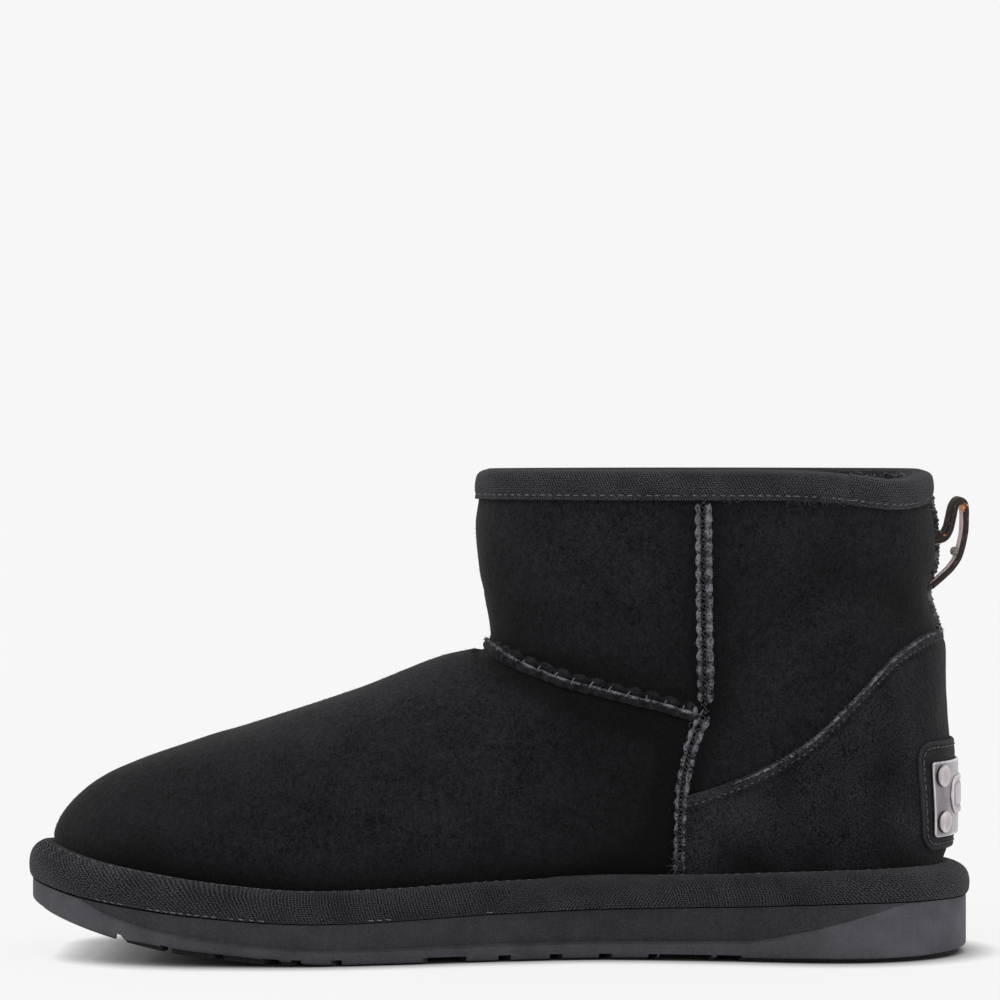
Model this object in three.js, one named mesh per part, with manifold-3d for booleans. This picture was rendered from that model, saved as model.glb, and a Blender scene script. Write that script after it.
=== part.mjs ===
// A sheepskin ankle boot for the right foot, as the pieces that its maker puts together.
// Millimetres, +Z up, toe towards +X, inner (big toe) side towards +Y, standing on z = 0.
// The upper is a hollow wall, made as loops that run round the boot from the sole up to the collar.
// Its outline at each height is the larger of a foot, which ends in front at the instep ridge, and a shaft.
// Overlays are patches of the same surface, moved outwards.
import * as THREE from "three";
import { mergeVertices } from "three/addons/utils/BufferGeometryUtils.js";
import Module from "manifold-3d";

const wasm = await Module();
wasm.setup();

// Driving sizes
const LENGTH = 286; // over the sole's binding, toe to heel
const RIM_HEIGHT = 147.3; // top of the collar binding
const GAP = 0.3; // between pieces that meet
const BINDING_OVERHANG = 1.1; // how far the sole's binding stands out past the sole
const WALL = 7.5; // sheepskin with its deep wool
const RIM_WALL = 5; // where the collar binding squeezes the wool
const TOE = LENGTH / 2;
const HEEL = -LENGTH / 2;
const INNER = 1; // the big toe side
const OUTER = -1;
const AROUND = 48; // points in each loop of the upper

// The sole's plan, seen from above: the middle line, and the half widths each side of it.
const SOLE_PLAN = [
  { at: -144, middle: 5, inner: 36, outer: 35 },
  { at: -100, middle: 5, inner: 39, outer: 38.5 },
  { at: -60, middle: 3, inner: 35, outer: 41.5 },
  { at: -30, middle: 2, inner: 33, outer: 45 },
  { at: 0, middle: 2.5, inner: 37, outer: 51 },
  { at: 30, middle: 3.5, inner: 44, outer: 56.2 },
  { at: 60, middle: 4.5, inner: 48.5, outer: 57 },
  { at: 90, middle: 6.5, inner: 46, outer: 51.5 },
  { at: 120, middle: 8, inner: 40, outer: 42 },
  { at: 144, middle: 8.5, inner: 33, outer: 33 },
];
const TOE_CAP = { length: 55, power: 2.25 };
const HEEL_CAP = { length: 42, power: 2.2 };

// The sole's side, from its bottom up: the lower edge, over the tread that is set in under it,
// the ledge, where the side is cut back and starts to slope out again, and the top.
const SOLE_SIDE = [
  { at: -144, edge: 2.4, ledge: 17.3, cutback: 0, thick: 17.4 },
  { at: -122, edge: 1.5, ledge: 16.6, cutback: 0.1, thick: 17.6 },
  { at: -110, edge: 1.4, ledge: 13.6, cutback: 0.5, thick: 17.6 },
  { at: -90, edge: 1.4, ledge: 8.4, cutback: 1.2, thick: 17.0 },
  { at: -72, edge: 1.3, ledge: 5.4, cutback: 1.8, thick: 16.2 },
  { at: -30, edge: 0.8, ledge: 4.7, cutback: 2.0, thick: 15.0 },
  { at: 0, edge: 0.6, ledge: 4.6, cutback: 2.0, thick: 14.1 },
  { at: 45, edge: 0.6, ledge: 4.0, cutback: 1.8, thick: 12.4 },
  { at: 78, edge: 2.0, ledge: 4.8, cutback: 1.5, thick: 12.1 },
  { at: 104, edge: 1.4, ledge: 5.1, cutback: 1.1, thick: 10.9 },
  { at: 115, edge: 0.7, ledge: 5.8, cutback: 0.8, thick: 9.9 },
  { at: 126, edge: 0.7, ledge: 7.6, cutback: 0.3, thick: 8.7 },
  { at: 144, edge: 1.4, ledge: 7.1, cutback: 0, thick: 7.2 },
];
const TOE_SPRING = { starts: 50, radius: 282 }; // the sole's bottom is flat as far as starts

// The upper's plan: half widths at the sole and, as *High, at ankle height.
const FOOT_PLAN = [
  { at: -136, middle: 5, inner: 29, outer: 28, innerHigh: 31, outerHigh: 30 },
  { at: -100, middle: 5, inner: 31, outer: 30.5, innerHigh: 32.5, outerHigh: 32 },
  { at: -60, middle: 3.5, inner: 27.5, outer: 33, innerHigh: 33.5, outerHigh: 34 },
  { at: -30, middle: 3, inner: 25.5, outer: 36.5, innerHigh: 34.5, outerHigh: 36.5 },
  { at: 0, middle: 3.5, inner: 29, outer: 42, innerHigh: 36, outerHigh: 41 },
  { at: 30, middle: 4, inner: 36, outer: 47, innerHigh: 39, outerHigh: 44.5 },
  { at: 60, middle: 5, inner: 40.5, outer: 48, innerHigh: 41.5, outerHigh: 46 },
  { at: 90, middle: 6.5, inner: 38, outer: 43, innerHigh: 38.5, outerHigh: 41.5 },
  { at: 120, middle: 8, inner: 33, outer: 34.5, innerHigh: 32, outerHigh: 33 },
  { at: 137, middle: 8.5, inner: 27, outer: 27, innerHigh: 25, outerHigh: 25 },
];
const PLAN_HIGH = { from: 22, to: 62 }; // heights between which the plan widens to *High
const HEEL_END = { low: 34, high: 62, power: 2.2, from: 60, to: 110 }; // its rounding by height
const BULGE = { amount: 0.035, height: 38 }; // the wool pushes the wall out over the sole

// The boot's outline from the side by height: the heel line, the ridge of the foot in front,
// how far behind the ridge the foot reaches its full width, and the roundness of that curve.
const FOOT_RIDGE = [
  { height: 14, back: -133.4, ridge: 134.6, reach: 55, power: 2.25 },
  { height: 27, back: -134.4, ridge: 135.9, reach: 56, power: 2.25 },
  { height: 34.5, back: -135.1, ridge: 136, reach: 60, power: 2.2 },
  { height: 39.5, back: -135.4, ridge: 134.4, reach: 70, power: 2.15 },
  { height: 44.4, back: -135.5, ridge: 131.2, reach: 82, power: 2.1 },
  { height: 49.3, back: -135.5, ridge: 126.2, reach: 94, power: 2.05 },
  { height: 54.2, back: -135.4, ridge: 118.6, reach: 106, power: 2 },
  { height: 59.1, back: -135.4, ridge: 107.2, reach: 115, power: 2 },
  { height: 64, back: -135.2, ridge: 92.5, reach: 121, power: 2 },
  { height: 68.9, back: -134.9, ridge: 76, reach: 124, power: 2 },
  { height: 78.7, back: -134.3, ridge: 45.8, reach: 122, power: 2 },
  { height: 88.5, back: -134.3, ridge: 21.4, reach: 112, power: 2 },
  { height: 91.2, back: -134.3, ridge: 14.5, reach: 106, power: 2 },
  { height: 93.4, back: -134.1, ridge: 5, reach: 100, power: 2 },
  { height: 98, back: -133.2, ridge: -12, reach: 90, power: 2 },
  { height: 103.4, back: -132, ridge: -32, reach: 84, power: 2 },
  { height: 108, back: -131.2, ridge: -46, reach: 78, power: 2 },
  { height: 112.5, back: -131.3, ridge: -58, reach: 72, power: 2 },
  { height: 117, back: -132.4, ridge: -62, reach: 70, power: 2 },
  { height: 123, back: -132.8, ridge: -62, reach: 70, power: 2 },
  { height: 130, back: -132.3, ridge: -62, reach: 70, power: 2 },
  { height: 137, back: -130.9, ridge: -62, reach: 70, power: 2 },
  { height: 148, back: -130.6, ridge: -62, reach: 70, power: 2 },
];

// The shaft by height: its front line and half width. Below the ankle it fades into the foot.
const SHAFT = [
  { height: 14, front: -100, half: 22 },
  { height: 45, front: -84, half: 28 },
  { height: 60, front: -70, half: 31 },
  { height: 74, front: -54, half: 33.5 },
  { height: 82, front: -30, half: 34.5 },
  { height: 88, front: -8, half: 35 },
  { height: 92, front: 4, half: 35.5 },
  { height: 98, front: 3.4, half: 36 },
  { height: 106, front: 4.6, half: 37 },
  { height: 116, front: 6.4, half: 38.5 },
  { height: 130, front: 7.4, half: 40 },
  { height: 138, front: 6.4, half: 40.6 },
  { height: 148, front: 5.6, half: 41 },
];
const SHAFT_MIDDLE = 3.5;
const ANKLE = { from: 70, to: 100 }; // heights between which the foot's middle becomes the shaft's
const SHAFT_POWER = 2.15;
const MERGE = 0.25; // how softly foot and shaft run into each other

// Rows of loops, from the sole up: closer where the instep ridge sweeps forwards.
const ROW_ZONES = [
  { from: 40, to: 60, rows: 5 },
  { from: 60, to: 88, rows: 8 },
  { from: 88, to: 98, rows: 6 },
  { from: 98, to: 128, rows: 4 },
];
const LOWEST_LEVEL = 40; // below it the loops bend down to the sole's top
const HIGHEST_LEVEL = 128; // above it they bend to the rim
const RIM_DIP = { amount: 3, angle: 137, width: 34 }; // the soft rim sags at the inner back
const RIM_DROP = 2.3; // the upper's edge lies this far under the binding's top
const RIM_TILT = 1.2; // the inner side of the rim is this much lower

// Wall and insole
const INNER_LEVELS = [0, 10, 25, 40, 50, 60, 67, 74, 81, 88, 94, 100, 112, 125, 137, RIM_HEIGHT];
const RIM_TAPER = { from: 22, to: 11 }; // depths under the rim over which the wool is squeezed
const INSOLE = { thick: 5, edge: 1 };

// Grooves across the sole between its lugs: place along the boot, width and length.
const GROOVES = [
  { at: 113, width: 3, length: 120 },
  { at: 98, width: 3, length: 120 },
  { at: 82, width: 3, length: 120 },
  { at: 66, width: 5, length: 120 },
  { at: 58.5, width: 3, length: 120 },
  { at: 47, width: 3.2, length: 120 },
  { at: 32, width: 3.2, length: 84 },
  { at: 17, width: 12, length: 120 },
  { at: 0, width: 4, length: 72 },
  { at: -16, width: 4, length: 72 },
  { at: -31, width: 4, length: 120 },
  { at: -44.8, width: 2.6, length: 120 },
  { at: -54.2, width: 15, length: 120 },
  { at: -66.8, width: 7, length: 120 },
  { at: -84, width: 4, length: 60 },
  { at: -101, width: 4, length: 60 },
  { at: -118, width: 4, length: 60 },
];
const GROOVE_DEPTH = 2;
const BELOW = 3; // a groove's cutter starts this far under the sole
const ZIGZAG = { height: 3, pitch: 24 };
const SOLE_POINTS = 48; // points in each loop of the sole
const TREAD_INSET = 2.2; // how far the tread is set in under the side
const STEP = 0.7; // the ledge's upper face rises this much to the cut back side
const THIN = 0.05; // the least height that any face keeps
const SOLE_ROUND = { inset: 0.4, height: 0.5 }; // the rounding of the side's lower edge

// The sole's binding: its height at the side, and how much more at toe and heel.
const ROLL = { height: 9, toeExtra: 1.2, toeFrom: 60, heelExtra: 0.5, heelFrom: -100, ends: 140 };
// Its section: out is a share of the way from the upper to the edge, up a share of the height.
const ROLL_SECTION = [
  { out: 0, up: 0 },
  { out: 0.88, up: 0 },
  { out: 0.98, up: 0.14 },
  { out: 1, up: 0.36 },
  { out: 0.97, up: 0.6 },
  { out: 0.84, up: 0.82 },
  { out: 0.58, up: 0.96 },
  { out: 0.25, up: 1.02 },
  { out: 0, up: 1.02 },
  { out: 0, up: 0.68 },
  { out: 0, up: 0.34 },
];
const ROLL_TOP = 1.02;

// The collar binding: how far down its tape reaches, and the section of its outer half,
// by how far it stands off the upper and how far it lies below the binding's top.
const COLLAR = { outside: 9.3, inside: 8 };
const COLLAR_SECTION = [
  { off: 1.1, down: 9.3 },
  { off: 1.7, down: 5 },
  { off: 1.4, down: 2.6 },
  { off: -0.6, down: 0.6 },
];

// Heel counter: faces as offsets from the upper, front edge, and top edge by place.
const COUNTER = { inside: 0.5, outside: 1.7, front: -54.5, overRoll: 0.7, columns: 24, rows: 10 };
const COUNTER_TOP = [
  { at: -137, height: 98.5 },
  { at: -129, height: 97 },
  { at: -120, height: 92.5 },
  { at: -105, height: 78.5 },
  { at: -90, height: 64.5 },
  { at: -75, height: 56 },
  { at: -54, height: 48.3 },
];

// Badge on the heel: a leather patch under a plate, with rivets at the plate's corners
// and a plain oval between them.
// Each is a rectangle whose half width grows by its flare with height, as the heel does.
const PATCH = { low: 32.4, high: 64.8, wide: 62.4, flare: 0.1, thick: 1.1, corner: 6, columns: 14, rows: 5 };
const PLATE = { low: 36.4, high: 58.9, wide: 55.4, flare: 0.08, thick: 0.7, corner: 1, columns: 14, rows: 3 };
const BOSS = { low: 42.6, high: 54, wide: 38, flare: 0, thick: 0.7, corner: 5.5, columns: 16, rows: 5 };
const PATCH_OUT = COUNTER.outside + GAP;
const PLATE_OUT = PATCH_OUT + PATCH.thick + GAP;
const BOSS_OUT = PLATE_OUT + PLATE.thick + GAP;
const RIVET = { radius: 3.3, height: 1.0, in: 4.8, up: 4.4 };
// Half the section of a rivet's head, as shares of its radius and height.
const DOME_SECTION = [
  { out: 0, up: 0 },
  { out: 1, up: 0 },
  { out: 1, up: 0.35 },
  { out: 0.86, up: 0.8 },
  { out: 0.5, up: 1 },
  { out: 0, up: 1 },
];
const DOME_SIDES = 14;
const COUNTER_REACH = 46; // depth of the heel that a badge's turn of 90 degrees would pass

// Pull loop: a ribbon, and its line out of the back seam, over and back down into it.
const STRAP = { wide: 10, thick: 2, steps: 36 };
const STRAP_LINE = [
  { at: -133.3, height: 125.1 },
  { at: -135.2, height: 125.8 },
  { at: -136.9, height: 128.2 },
  { at: -137.8, height: 131.8 },
  { at: -138.6, height: 135.2 },
  { at: -140.2, height: 136.9 },
  { at: -141.5, height: 135.8 },
  { at: -141.9, height: 132.8 },
  { at: -141.8, height: 128.5 },
  { at: -141.2, height: 124.5 },
  { at: -139.9, height: 119.8 },
  { at: -137.7, height: 116.4 },
  { at: -135.2, height: 113.9 },
  { at: -132.7, height: 111.6 },
];

// --- Curves through tables -------------------------------------------------

// A smooth curve through a table's column that never swings past its rows.
function through(rows, key, column) {
  const x = rows.map((row) => row[key]);
  const y = rows.map((row) => row[column]);
  const rise = x.slice(1).map((value, i) => (y[i + 1] - y[i]) / (value - x[i]));
  const slope = y.map((_, i) => {
    if (i === 0) return rise[0];
    if (i === y.length - 1) return rise[i - 1];
    const [before, after] = [rise[i - 1], rise[i]];
    return before * after <= 0 ? 0 : (2 * before * after) / (before + after);
  });
  return (at) => {
    const value = Math.min(Math.max(at, x[0]), x[x.length - 1]);
    let i = 0;
    while (i < x.length - 2 && value > x[i + 1]) i += 1;
    const span = x[i + 1] - x[i];
    const t = (value - x[i]) / span;
    const u = 1 - t;
    return (
      y[i] * u * u * (1 + 2 * t) +
      y[i + 1] * t * t * (1 + 2 * u) +
      slope[i] * span * t * u * u -
      slope[i + 1] * span * t * t * u
    );
  };
}

const allThrough = (rows, key) =>
  Object.fromEntries(
    Object.keys(rows[0])
      .filter((column) => column !== key)
      .map((column) => [column, through(rows, key, column)]),
  );

const solePlan = allThrough(SOLE_PLAN, "at");
const soleSide = allThrough(SOLE_SIDE, "at");
const footPlan = allThrough(FOOT_PLAN, "at");
const ridge = allThrough(FOOT_RIDGE, "height");
const shaft = allThrough(SHAFT, "height");

const smoothStep = (from, to, value) => THREE.MathUtils.smoothstep(value, from, to);
const mix = THREE.MathUtils.lerp;

// How wide a rounded end is at a distance in from its tip, as a share of the full width.
function roundedEnd(distance, length, power) {
  const left = 1 - Math.min(Math.max(distance / length, 0), 1);
  return (1 - left ** power) ** (1 / power);
}

// --- Sole lines ------------------------------------------------------------

function bottomAt(x) {
  const along = Math.max(x - TOE_SPRING.starts, 0);
  return TOE_SPRING.radius - Math.sqrt(TOE_SPRING.radius ** 2 - along ** 2);
}
const soleTopAt = (x) => bottomAt(x) + soleSide.thick(x);

// The point of the sole's plan at an angle round it, drawn in from the edge by inset.
function soleEdge(angle, inset) {
  const x = (TOE - inset) * Math.cos(angle);
  const side = Math.sin(angle) >= 0 ? INNER : OUTER;
  const half = side === INNER ? solePlan.inner(x) : solePlan.outer(x);
  const ends =
    roundedEnd(TOE - inset - x, TOE_CAP.length - inset, TOE_CAP.power) *
    roundedEnd(x - HEEL - inset, HEEL_CAP.length - inset, HEEL_CAP.power);
  return { x, y: solePlan.middle(x) + side * (half - inset) * ends };
}

// --- The upper's surface ---------------------------------------------------

function footHalf(x, z, side) {
  const [low, high] =
    side === INNER
      ? [footPlan.inner(x), footPlan.innerHigh(x)]
      : [footPlan.outer(x), footPlan.outerHigh(x)];
  const above = Math.min(Math.max((z - soleTopAt(x)) / BULGE.height, 0), 1);
  const half =
    mix(low, high, smoothStep(PLAN_HIGH.from, PLAN_HIGH.to, z)) *
    (1 + BULGE.amount * Math.sin(Math.PI * above));
  return half * roundedEnd(ridge.ridge(z) - x, ridge.reach(z), ridge.power(z));
}

function shaftHalf(x, z) {
  const front = shaft.front(z);
  const half = (front - ridge.back(z)) / 2;
  return shaft.half(z) * roundedEnd(front - x, half, SHAFT_POWER);
}

const frontAt = (z) => Math.max(ridge.ridge(z), shaft.front(z));

// The upper's outer face at a place along the boot and a height.
function upperY(x, z, side) {
  const foot = footHalf(x, z, side);
  const tube = shaftHalf(x, z);
  const wider = Math.max(foot, tube);
  const reach = MERGE * wider + 1e-6;
  const overlap = Math.max(reach - Math.abs(foot - tube), 0);
  const backLength = mix(HEEL_END.low, HEEL_END.high, smoothStep(HEEL_END.from, HEEL_END.to, z));
  const heel = roundedEnd(x - ridge.back(z), backLength, HEEL_END.power);
  const middle = mix(footPlan.middle(x), SHAFT_MIDDLE, smoothStep(ANKLE.from, ANKLE.to, z));
  return middle + side * (wider + (overlap * overlap) / (4 * reach)) * heel;
}

function rimAt(angle) {
  const degrees = THREE.MathUtils.radToDeg(angle);
  const off = (degrees - RIM_DIP.angle) / RIM_DIP.width;
  const dip = RIM_DIP.amount * Math.exp(-off * off);
  return RIM_HEIGHT - (RIM_TILT * (1 + Math.sin(angle))) / 2 - dip;
}

// A point of the outer face: angle 0 is the front, 90 degrees the inner side, 180 the heel.
// The level is a height, bent down to the sole at the bottom and to the rim at the top.
function upperPoint(angle, level, rimDrop = RIM_DROP) {
  let z = level;
  let x = 0;
  for (let pass = 0; pass < 6; pass += 1) {
    const back = ridge.back(z);
    const front = frontAt(z);
    x = (front + back) / 2 + ((front - back) / 2) * Math.cos(angle);
    if (level < LOWEST_LEVEL) {
      z = mix(soleTopAt(x) + GAP, LOWEST_LEVEL, level / LOWEST_LEVEL);
    } else if (level > HIGHEST_LEVEL) {
      const up = (level - HIGHEST_LEVEL) / (RIM_HEIGHT - HIGHEST_LEVEL);
      z = mix(HIGHEST_LEVEL, rimAt(angle) - rimDrop, up);
    }
  }
  return new THREE.Vector3(x, upperY(x, z, Math.sin(angle) >= 0 ? INNER : OUTER), z);
}

// The outward direction there, from points a little to each side.
function upperNormal(angle, level, rimDrop) {
  const at = (turn, rise) =>
    upperPoint(angle + turn, THREE.MathUtils.clamp(level + rise, 0, RIM_HEIGHT), rimDrop);
  const along = at(0.02, 0).sub(at(-0.02, 0));
  const up = at(0, 0.4).sub(at(0, -0.4));
  return along.cross(up).normalize();
}

const upperOffset = (angle, level, out, rimDrop) =>
  upperPoint(angle, level, rimDrop).addScaledVector(upperNormal(angle, level, rimDrop), out);

// Level, not tilted: the same step sideways, used where a loop has to stay at its height.
function upperSideways(angle, level, out, rimDrop) {
  const normal = upperNormal(angle, level, rimDrop).setZ(0).normalize();
  return upperPoint(angle, level, rimDrop).addScaledVector(normal, out);
}

// --- Meshes ----------------------------------------------------------------

const angles = (count) => Array.from({ length: count }, (_, i) => (2 * Math.PI * i) / count);
const steps = (from, to, count) =>
  Array.from({ length: count + 1 }, (_, i) => mix(from, to, i / count));

// A closed mesh from rows of points and its triangles, turned so that its faces point out.
function solid(points, triangles) {
  let volume = 0;
  for (const [a, b, c] of triangles)
    volume += points[a].dot(new THREE.Vector3().crossVectors(points[b], points[c]));
  const order = volume < 0 ? [0, 2, 1] : [0, 1, 2];
  const geometry = new THREE.BufferGeometry();
  geometry.setAttribute(
    "position",
    new THREE.Float32BufferAttribute(
      points.flatMap((p) => p.toArray()),
      3,
    ),
  );
  geometry.setIndex(triangles.flatMap((t) => order.map((i) => t[i])));
  geometry.computeVertexNormals();
  return geometry;
}

// Triangles between neighbouring points of a grid; rows or columns may close on themselves.
function gridTriangles(rows, columns, closeRows, closeColumns, start = 0) {
  const found = [];
  for (let r = 0; r < (closeRows ? rows : rows - 1); r += 1) {
    for (let c = 0; c < (closeColumns ? columns : columns - 1); c += 1) {
      const [r2, c2] = [(r + 1) % rows, (c + 1) % columns];
      const [a, b] = [start + r * columns + c, start + r * columns + c2];
      const [d, e] = [start + r2 * columns + c, start + r2 * columns + c2];
      found.push([a, b, e], [a, e, d]);
    }
  }
  return found;
}

// A ring with a closed section: every row is a loop round the boot, the last meets the first.
const ringSolid = (rows) =>
  solid(rows.flat(), gridTriangles(rows.length, rows[0].length, true, true));

// A slab: loops from one face to the other, each face closed by rungs from side to side.
function slabSolid(rows) {
  const count = rows[0].length;
  const triangles = gridTriangles(rows.length, count, false, true);
  const rungs = (start, order) => {
    for (let i = 0; i < count / 2; i += 1) {
      const [a, b] = [start + i, start + ((i + 1) % count)];
      const [c, d] = [start + ((count - i) % count), start + count - i - 1];
      if (a !== c) triangles.push(order([a, b, c]));
      if (b !== d) triangles.push(order([b, d, c]));
    }
  };
  rungs(0, ([a, b, c]) => [a, c, b]);
  rungs((rows.length - 1) * count, (triangle) => triangle);
  return solid(rows.flat(), triangles);
}

// A sheet with a thickness: one face's grid and the other's, joined round their edges.
function sheetSolid(face, back) {
  const [rows, columns] = [face.length, face[0].length];
  const total = rows * columns;
  const triangles = gridTriangles(rows, columns, false, false);
  for (const [a, b, c] of gridTriangles(rows, columns, false, false, total))
    triangles.push([a, c, b]);
  const border = [];
  for (let c = 0; c < columns - 1; c += 1) border.push(c);
  for (let r = 0; r < rows - 1; r += 1) border.push(r * columns + columns - 1);
  for (let c = columns - 1; c > 0; c -= 1) border.push((rows - 1) * columns + c);
  for (let r = rows - 1; r > 0; r -= 1) border.push(r * columns);
  border.forEach((a, i) => {
    const b = border[(i + 1) % border.length];
    triangles.push([a, total + b, b], [a, total + a, total + b]);
  });
  return solid([...face.flat(), ...back.flat()], triangles);
}

function toManifold(geometry) {
  const bare = new THREE.BufferGeometry();
  bare.setAttribute("position", geometry.getAttribute("position"));
  bare.setIndex(geometry.getIndex());
  const merged = mergeVertices(bare, 1e-4);
  return new wasm.Manifold(
    new wasm.Mesh({
      numProp: 3,
      vertProperties: new Float32Array(merged.attributes.position.array),
      triVerts: new Uint32Array(merged.index.array),
    }),
  );
}

function fromManifold(made) {
  const mesh = made.getMesh();
  const geometry = new THREE.BufferGeometry();
  geometry.setAttribute("position", new THREE.BufferAttribute(mesh.vertProperties, 3));
  geometry.setIndex(new THREE.BufferAttribute(mesh.triVerts, 1));
  geometry.computeVertexNormals();
  return geometry;
}

// --- Outsole ---------------------------------------------------------------

function soleBody() {
  const side = BINDING_OVERHANG;
  const rows = [
    { inset: side + TREAD_INSET, up: () => 0 },
    { inset: side + TREAD_INSET, up: (x) => soleSide.edge(x) * 0.9 },
    { inset: side + SOLE_ROUND.inset, up: (x) => soleSide.edge(x) },
    { inset: side, up: (x) => soleSide.edge(x) + SOLE_ROUND.height },
    { inset: side, up: (x) => soleSide.ledge(x) },
    { inset: side, cut: true, up: (x) => Math.min(soleSide.ledge(x) + STEP, soleSide.thick(x) - THIN) },
    { inset: side, up: (x) => soleSide.thick(x) },
  ];
  return slabSolid(
    rows.map(({ inset, cut, up }) =>
      angles(SOLE_POINTS).map((angle) => {
        const depth = cut ? soleSide.cutback(soleEdge(angle, inset).x) : 0;
        const { x, y } = soleEdge(angle, inset + depth);
        return new THREE.Vector3(x, y, bottomAt(x) + up(x));
      }),
    ),
  );
}

// One zigzag bar that cuts a groove, laid along the bottom's slope.
function grooveBar({ at, width, length }) {
  const pitch = ZIGZAG.pitch / 2;
  const count = Math.round(length / pitch);
  const edge = (shift) =>
    steps(-count / 2, count / 2, count).map(
      (i, n) => new THREE.Vector2(shift + (n % 2 ? 0.5 : -0.5) * ZIGZAG.height, i * pitch),
    );
  const bar = new THREE.ExtrudeGeometry(
    new THREE.Shape([...edge(-width / 2), ...edge(width / 2).reverse()]),
    { depth: GROOVE_DEPTH + BELOW, bevelEnabled: false },
  );
  const place = new THREE.Object3D();
  place.position.set(at, solePlan.middle(at), bottomAt(at) - BELOW);
  place.rotation.y = -Math.atan2(bottomAt(at + 1) - bottomAt(at - 1), 2);
  place.updateMatrix();
  return bar.applyMatrix4(place.matrix);
}

function outsole() {
  let made = toManifold(soleBody());
  for (const groove of GROOVES) made = made.subtract(toManifold(grooveBar(groove)));
  return fromManifold(made);
}

// --- Sole binding: the taped roll between sole and upper --------------------

const rollHeightAt = (x) =>
  ROLL.height +
  ROLL.toeExtra * smoothStep(ROLL.toeFrom, ROLL.ends, x) +
  ROLL.heelExtra * smoothStep(-ROLL.heelFrom, ROLL.ends, -x);

function soleBinding() {
  const rows = ROLL_SECTION.map(({ out, up }) =>
    angles(AROUND).map((angle) => {
      const edge = soleEdge(angle, 0);
      const base = soleTopAt(edge.x) + GAP;
      const z = base + up * rollHeightAt(edge.x);
      const level = (LOWEST_LEVEL * (z - base)) / (LOWEST_LEVEL - base);
      const inside = upperSideways(angle, Math.max(level, 0), GAP);
      return new THREE.Vector3(mix(inside.x, edge.x, out), mix(inside.y, edge.y, out), z);
    }),
  );
  return ringSolid(rows);
}

// --- Upper -----------------------------------------------------------------

function rowLevels() {
  const zones = ROW_ZONES.flatMap(({ from, to, rows }) => steps(from, to, rows).slice(1));
  return [0, 10, 20, 30, LOWEST_LEVEL, ...zones, HIGHEST_LEVEL + 5, RIM_HEIGHT - 9, RIM_HEIGHT];
}

const wallAt = (level) =>
  mix(RIM_WALL, WALL, smoothStep(RIM_TAPER.to, RIM_TAPER.from, RIM_HEIGHT - level));

function upper() {
  const levels = rowLevels();
  const outside = levels.map((level) => angles(AROUND).map((angle) => upperPoint(angle, level)));
  const inside = INNER_LEVELS.map((level) => {
    const step = level === 0 || level === RIM_HEIGHT ? upperSideways : upperOffset;
    return angles(AROUND).map((angle) => step(angle, level, -wallAt(level)));
  });
  return ringSolid([...outside, ...inside.reverse()]);
}

// --- Insole ----------------------------------------------------------------

function insole() {
  const rows = [
    { up: 0, inset: 0 },
    { up: INSOLE.thick - INSOLE.edge, inset: 0 },
    { up: INSOLE.thick, inset: INSOLE.edge },
  ];
  return slabSolid(
    rows.map(({ up, inset }) =>
      angles(AROUND).map((angle) => {
        const point = upperSideways(angle, up, -(WALL + 2 * GAP + inset));
        return point.setZ(soleTopAt(point.x) + GAP + up);
      }),
    ),
  );
}

// --- Collar binding --------------------------------------------------------

// The tape's section over the rim: out from the upper's face, and up from the binding's top.
function collarSection() {
  const outer = COLLAR_SECTION.map(({ off, down }) => ({ out: off, up: -down }));
  const inner = COLLAR_SECTION.map(({ off, down }) => ({
    out: -RIM_WALL - off,
    up: -Math.min(down, COLLAR.inside),
  }));
  return [
    { out: GAP, up: -COLLAR.outside },
    ...outer,
    { out: -RIM_WALL / 2, up: 0 },
    ...inner.reverse(),
    { out: -RIM_WALL - GAP, up: -COLLAR.inside },
    { out: -RIM_WALL - GAP, up: GAP - RIM_DROP },
    { out: GAP, up: GAP - RIM_DROP },
  ];
}

function collarBinding() {
  const rows = collarSection().map(({ out, up }) =>
    angles(AROUND).map((angle) => {
      const point = upperSideways(angle, RIM_HEIGHT + up, out, 0);
      return point.setZ(rimAt(angle) + up);
    }),
  );
  return ringSolid(rows);
}

// --- Overlays on the heel --------------------------------------------------

const counterTop = through(COUNTER_TOP, "at", "height");

// The angle at which the loop at a height passes a place along the boot.
function angleAt(x, z) {
  const [front, back] = [frontAt(z), ridge.back(z)];
  return Math.acos((x - (front + back) / 2) / ((front - back) / 2));
}

// A height as a level: the two differ only below LOWEST_LEVEL.
function levelOf(x, z) {
  const base = soleTopAt(x) + GAP;
  return z >= LOWEST_LEVEL ? z : Math.max((LOWEST_LEVEL * (z - base)) / (LOWEST_LEVEL - base), 0);
}

// A place between the heel line and the counter's front edge: side runs from -1 to 1, 0 at the back.
function heelX(side, z) {
  const back = ridge.back(z);
  return back + (COUNTER.front - back) * (1 - Math.cos((Math.PI / 2) * Math.abs(side)));
}

// The heel's face at a place and height, moved out, on the inner side where side is over 0.
function heelPoint(x, z, side, out) {
  const angle = angleAt(x, z);
  return upperOffset(side > 0 ? angle : 2 * Math.PI - angle, levelOf(x, z), out);
}

function counterHeights(side) {
  let low = LOWEST_LEVEL;
  let high = counterTop(HEEL);
  for (let pass = 0; pass < 12; pass += 1) {
    const x = heelX(side, low);
    low = soleTopAt(x) + GAP + ROLL_TOP * rollHeightAt(x) + COUNTER.overRoll;
    high = counterTop(heelX(side, high));
  }
  return [low, high];
}

function heelCounter() {
  const face = (out) =>
    steps(-1, 1, COUNTER.columns).map((side) =>
      steps(...counterHeights(side), COUNTER.rows).map((z) =>
        heelPoint(heelX(side, z), z, side, out),
      ),
    );
  return sheetSolid(face(COUNTER.outside), face(COUNTER.inside));
}

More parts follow.
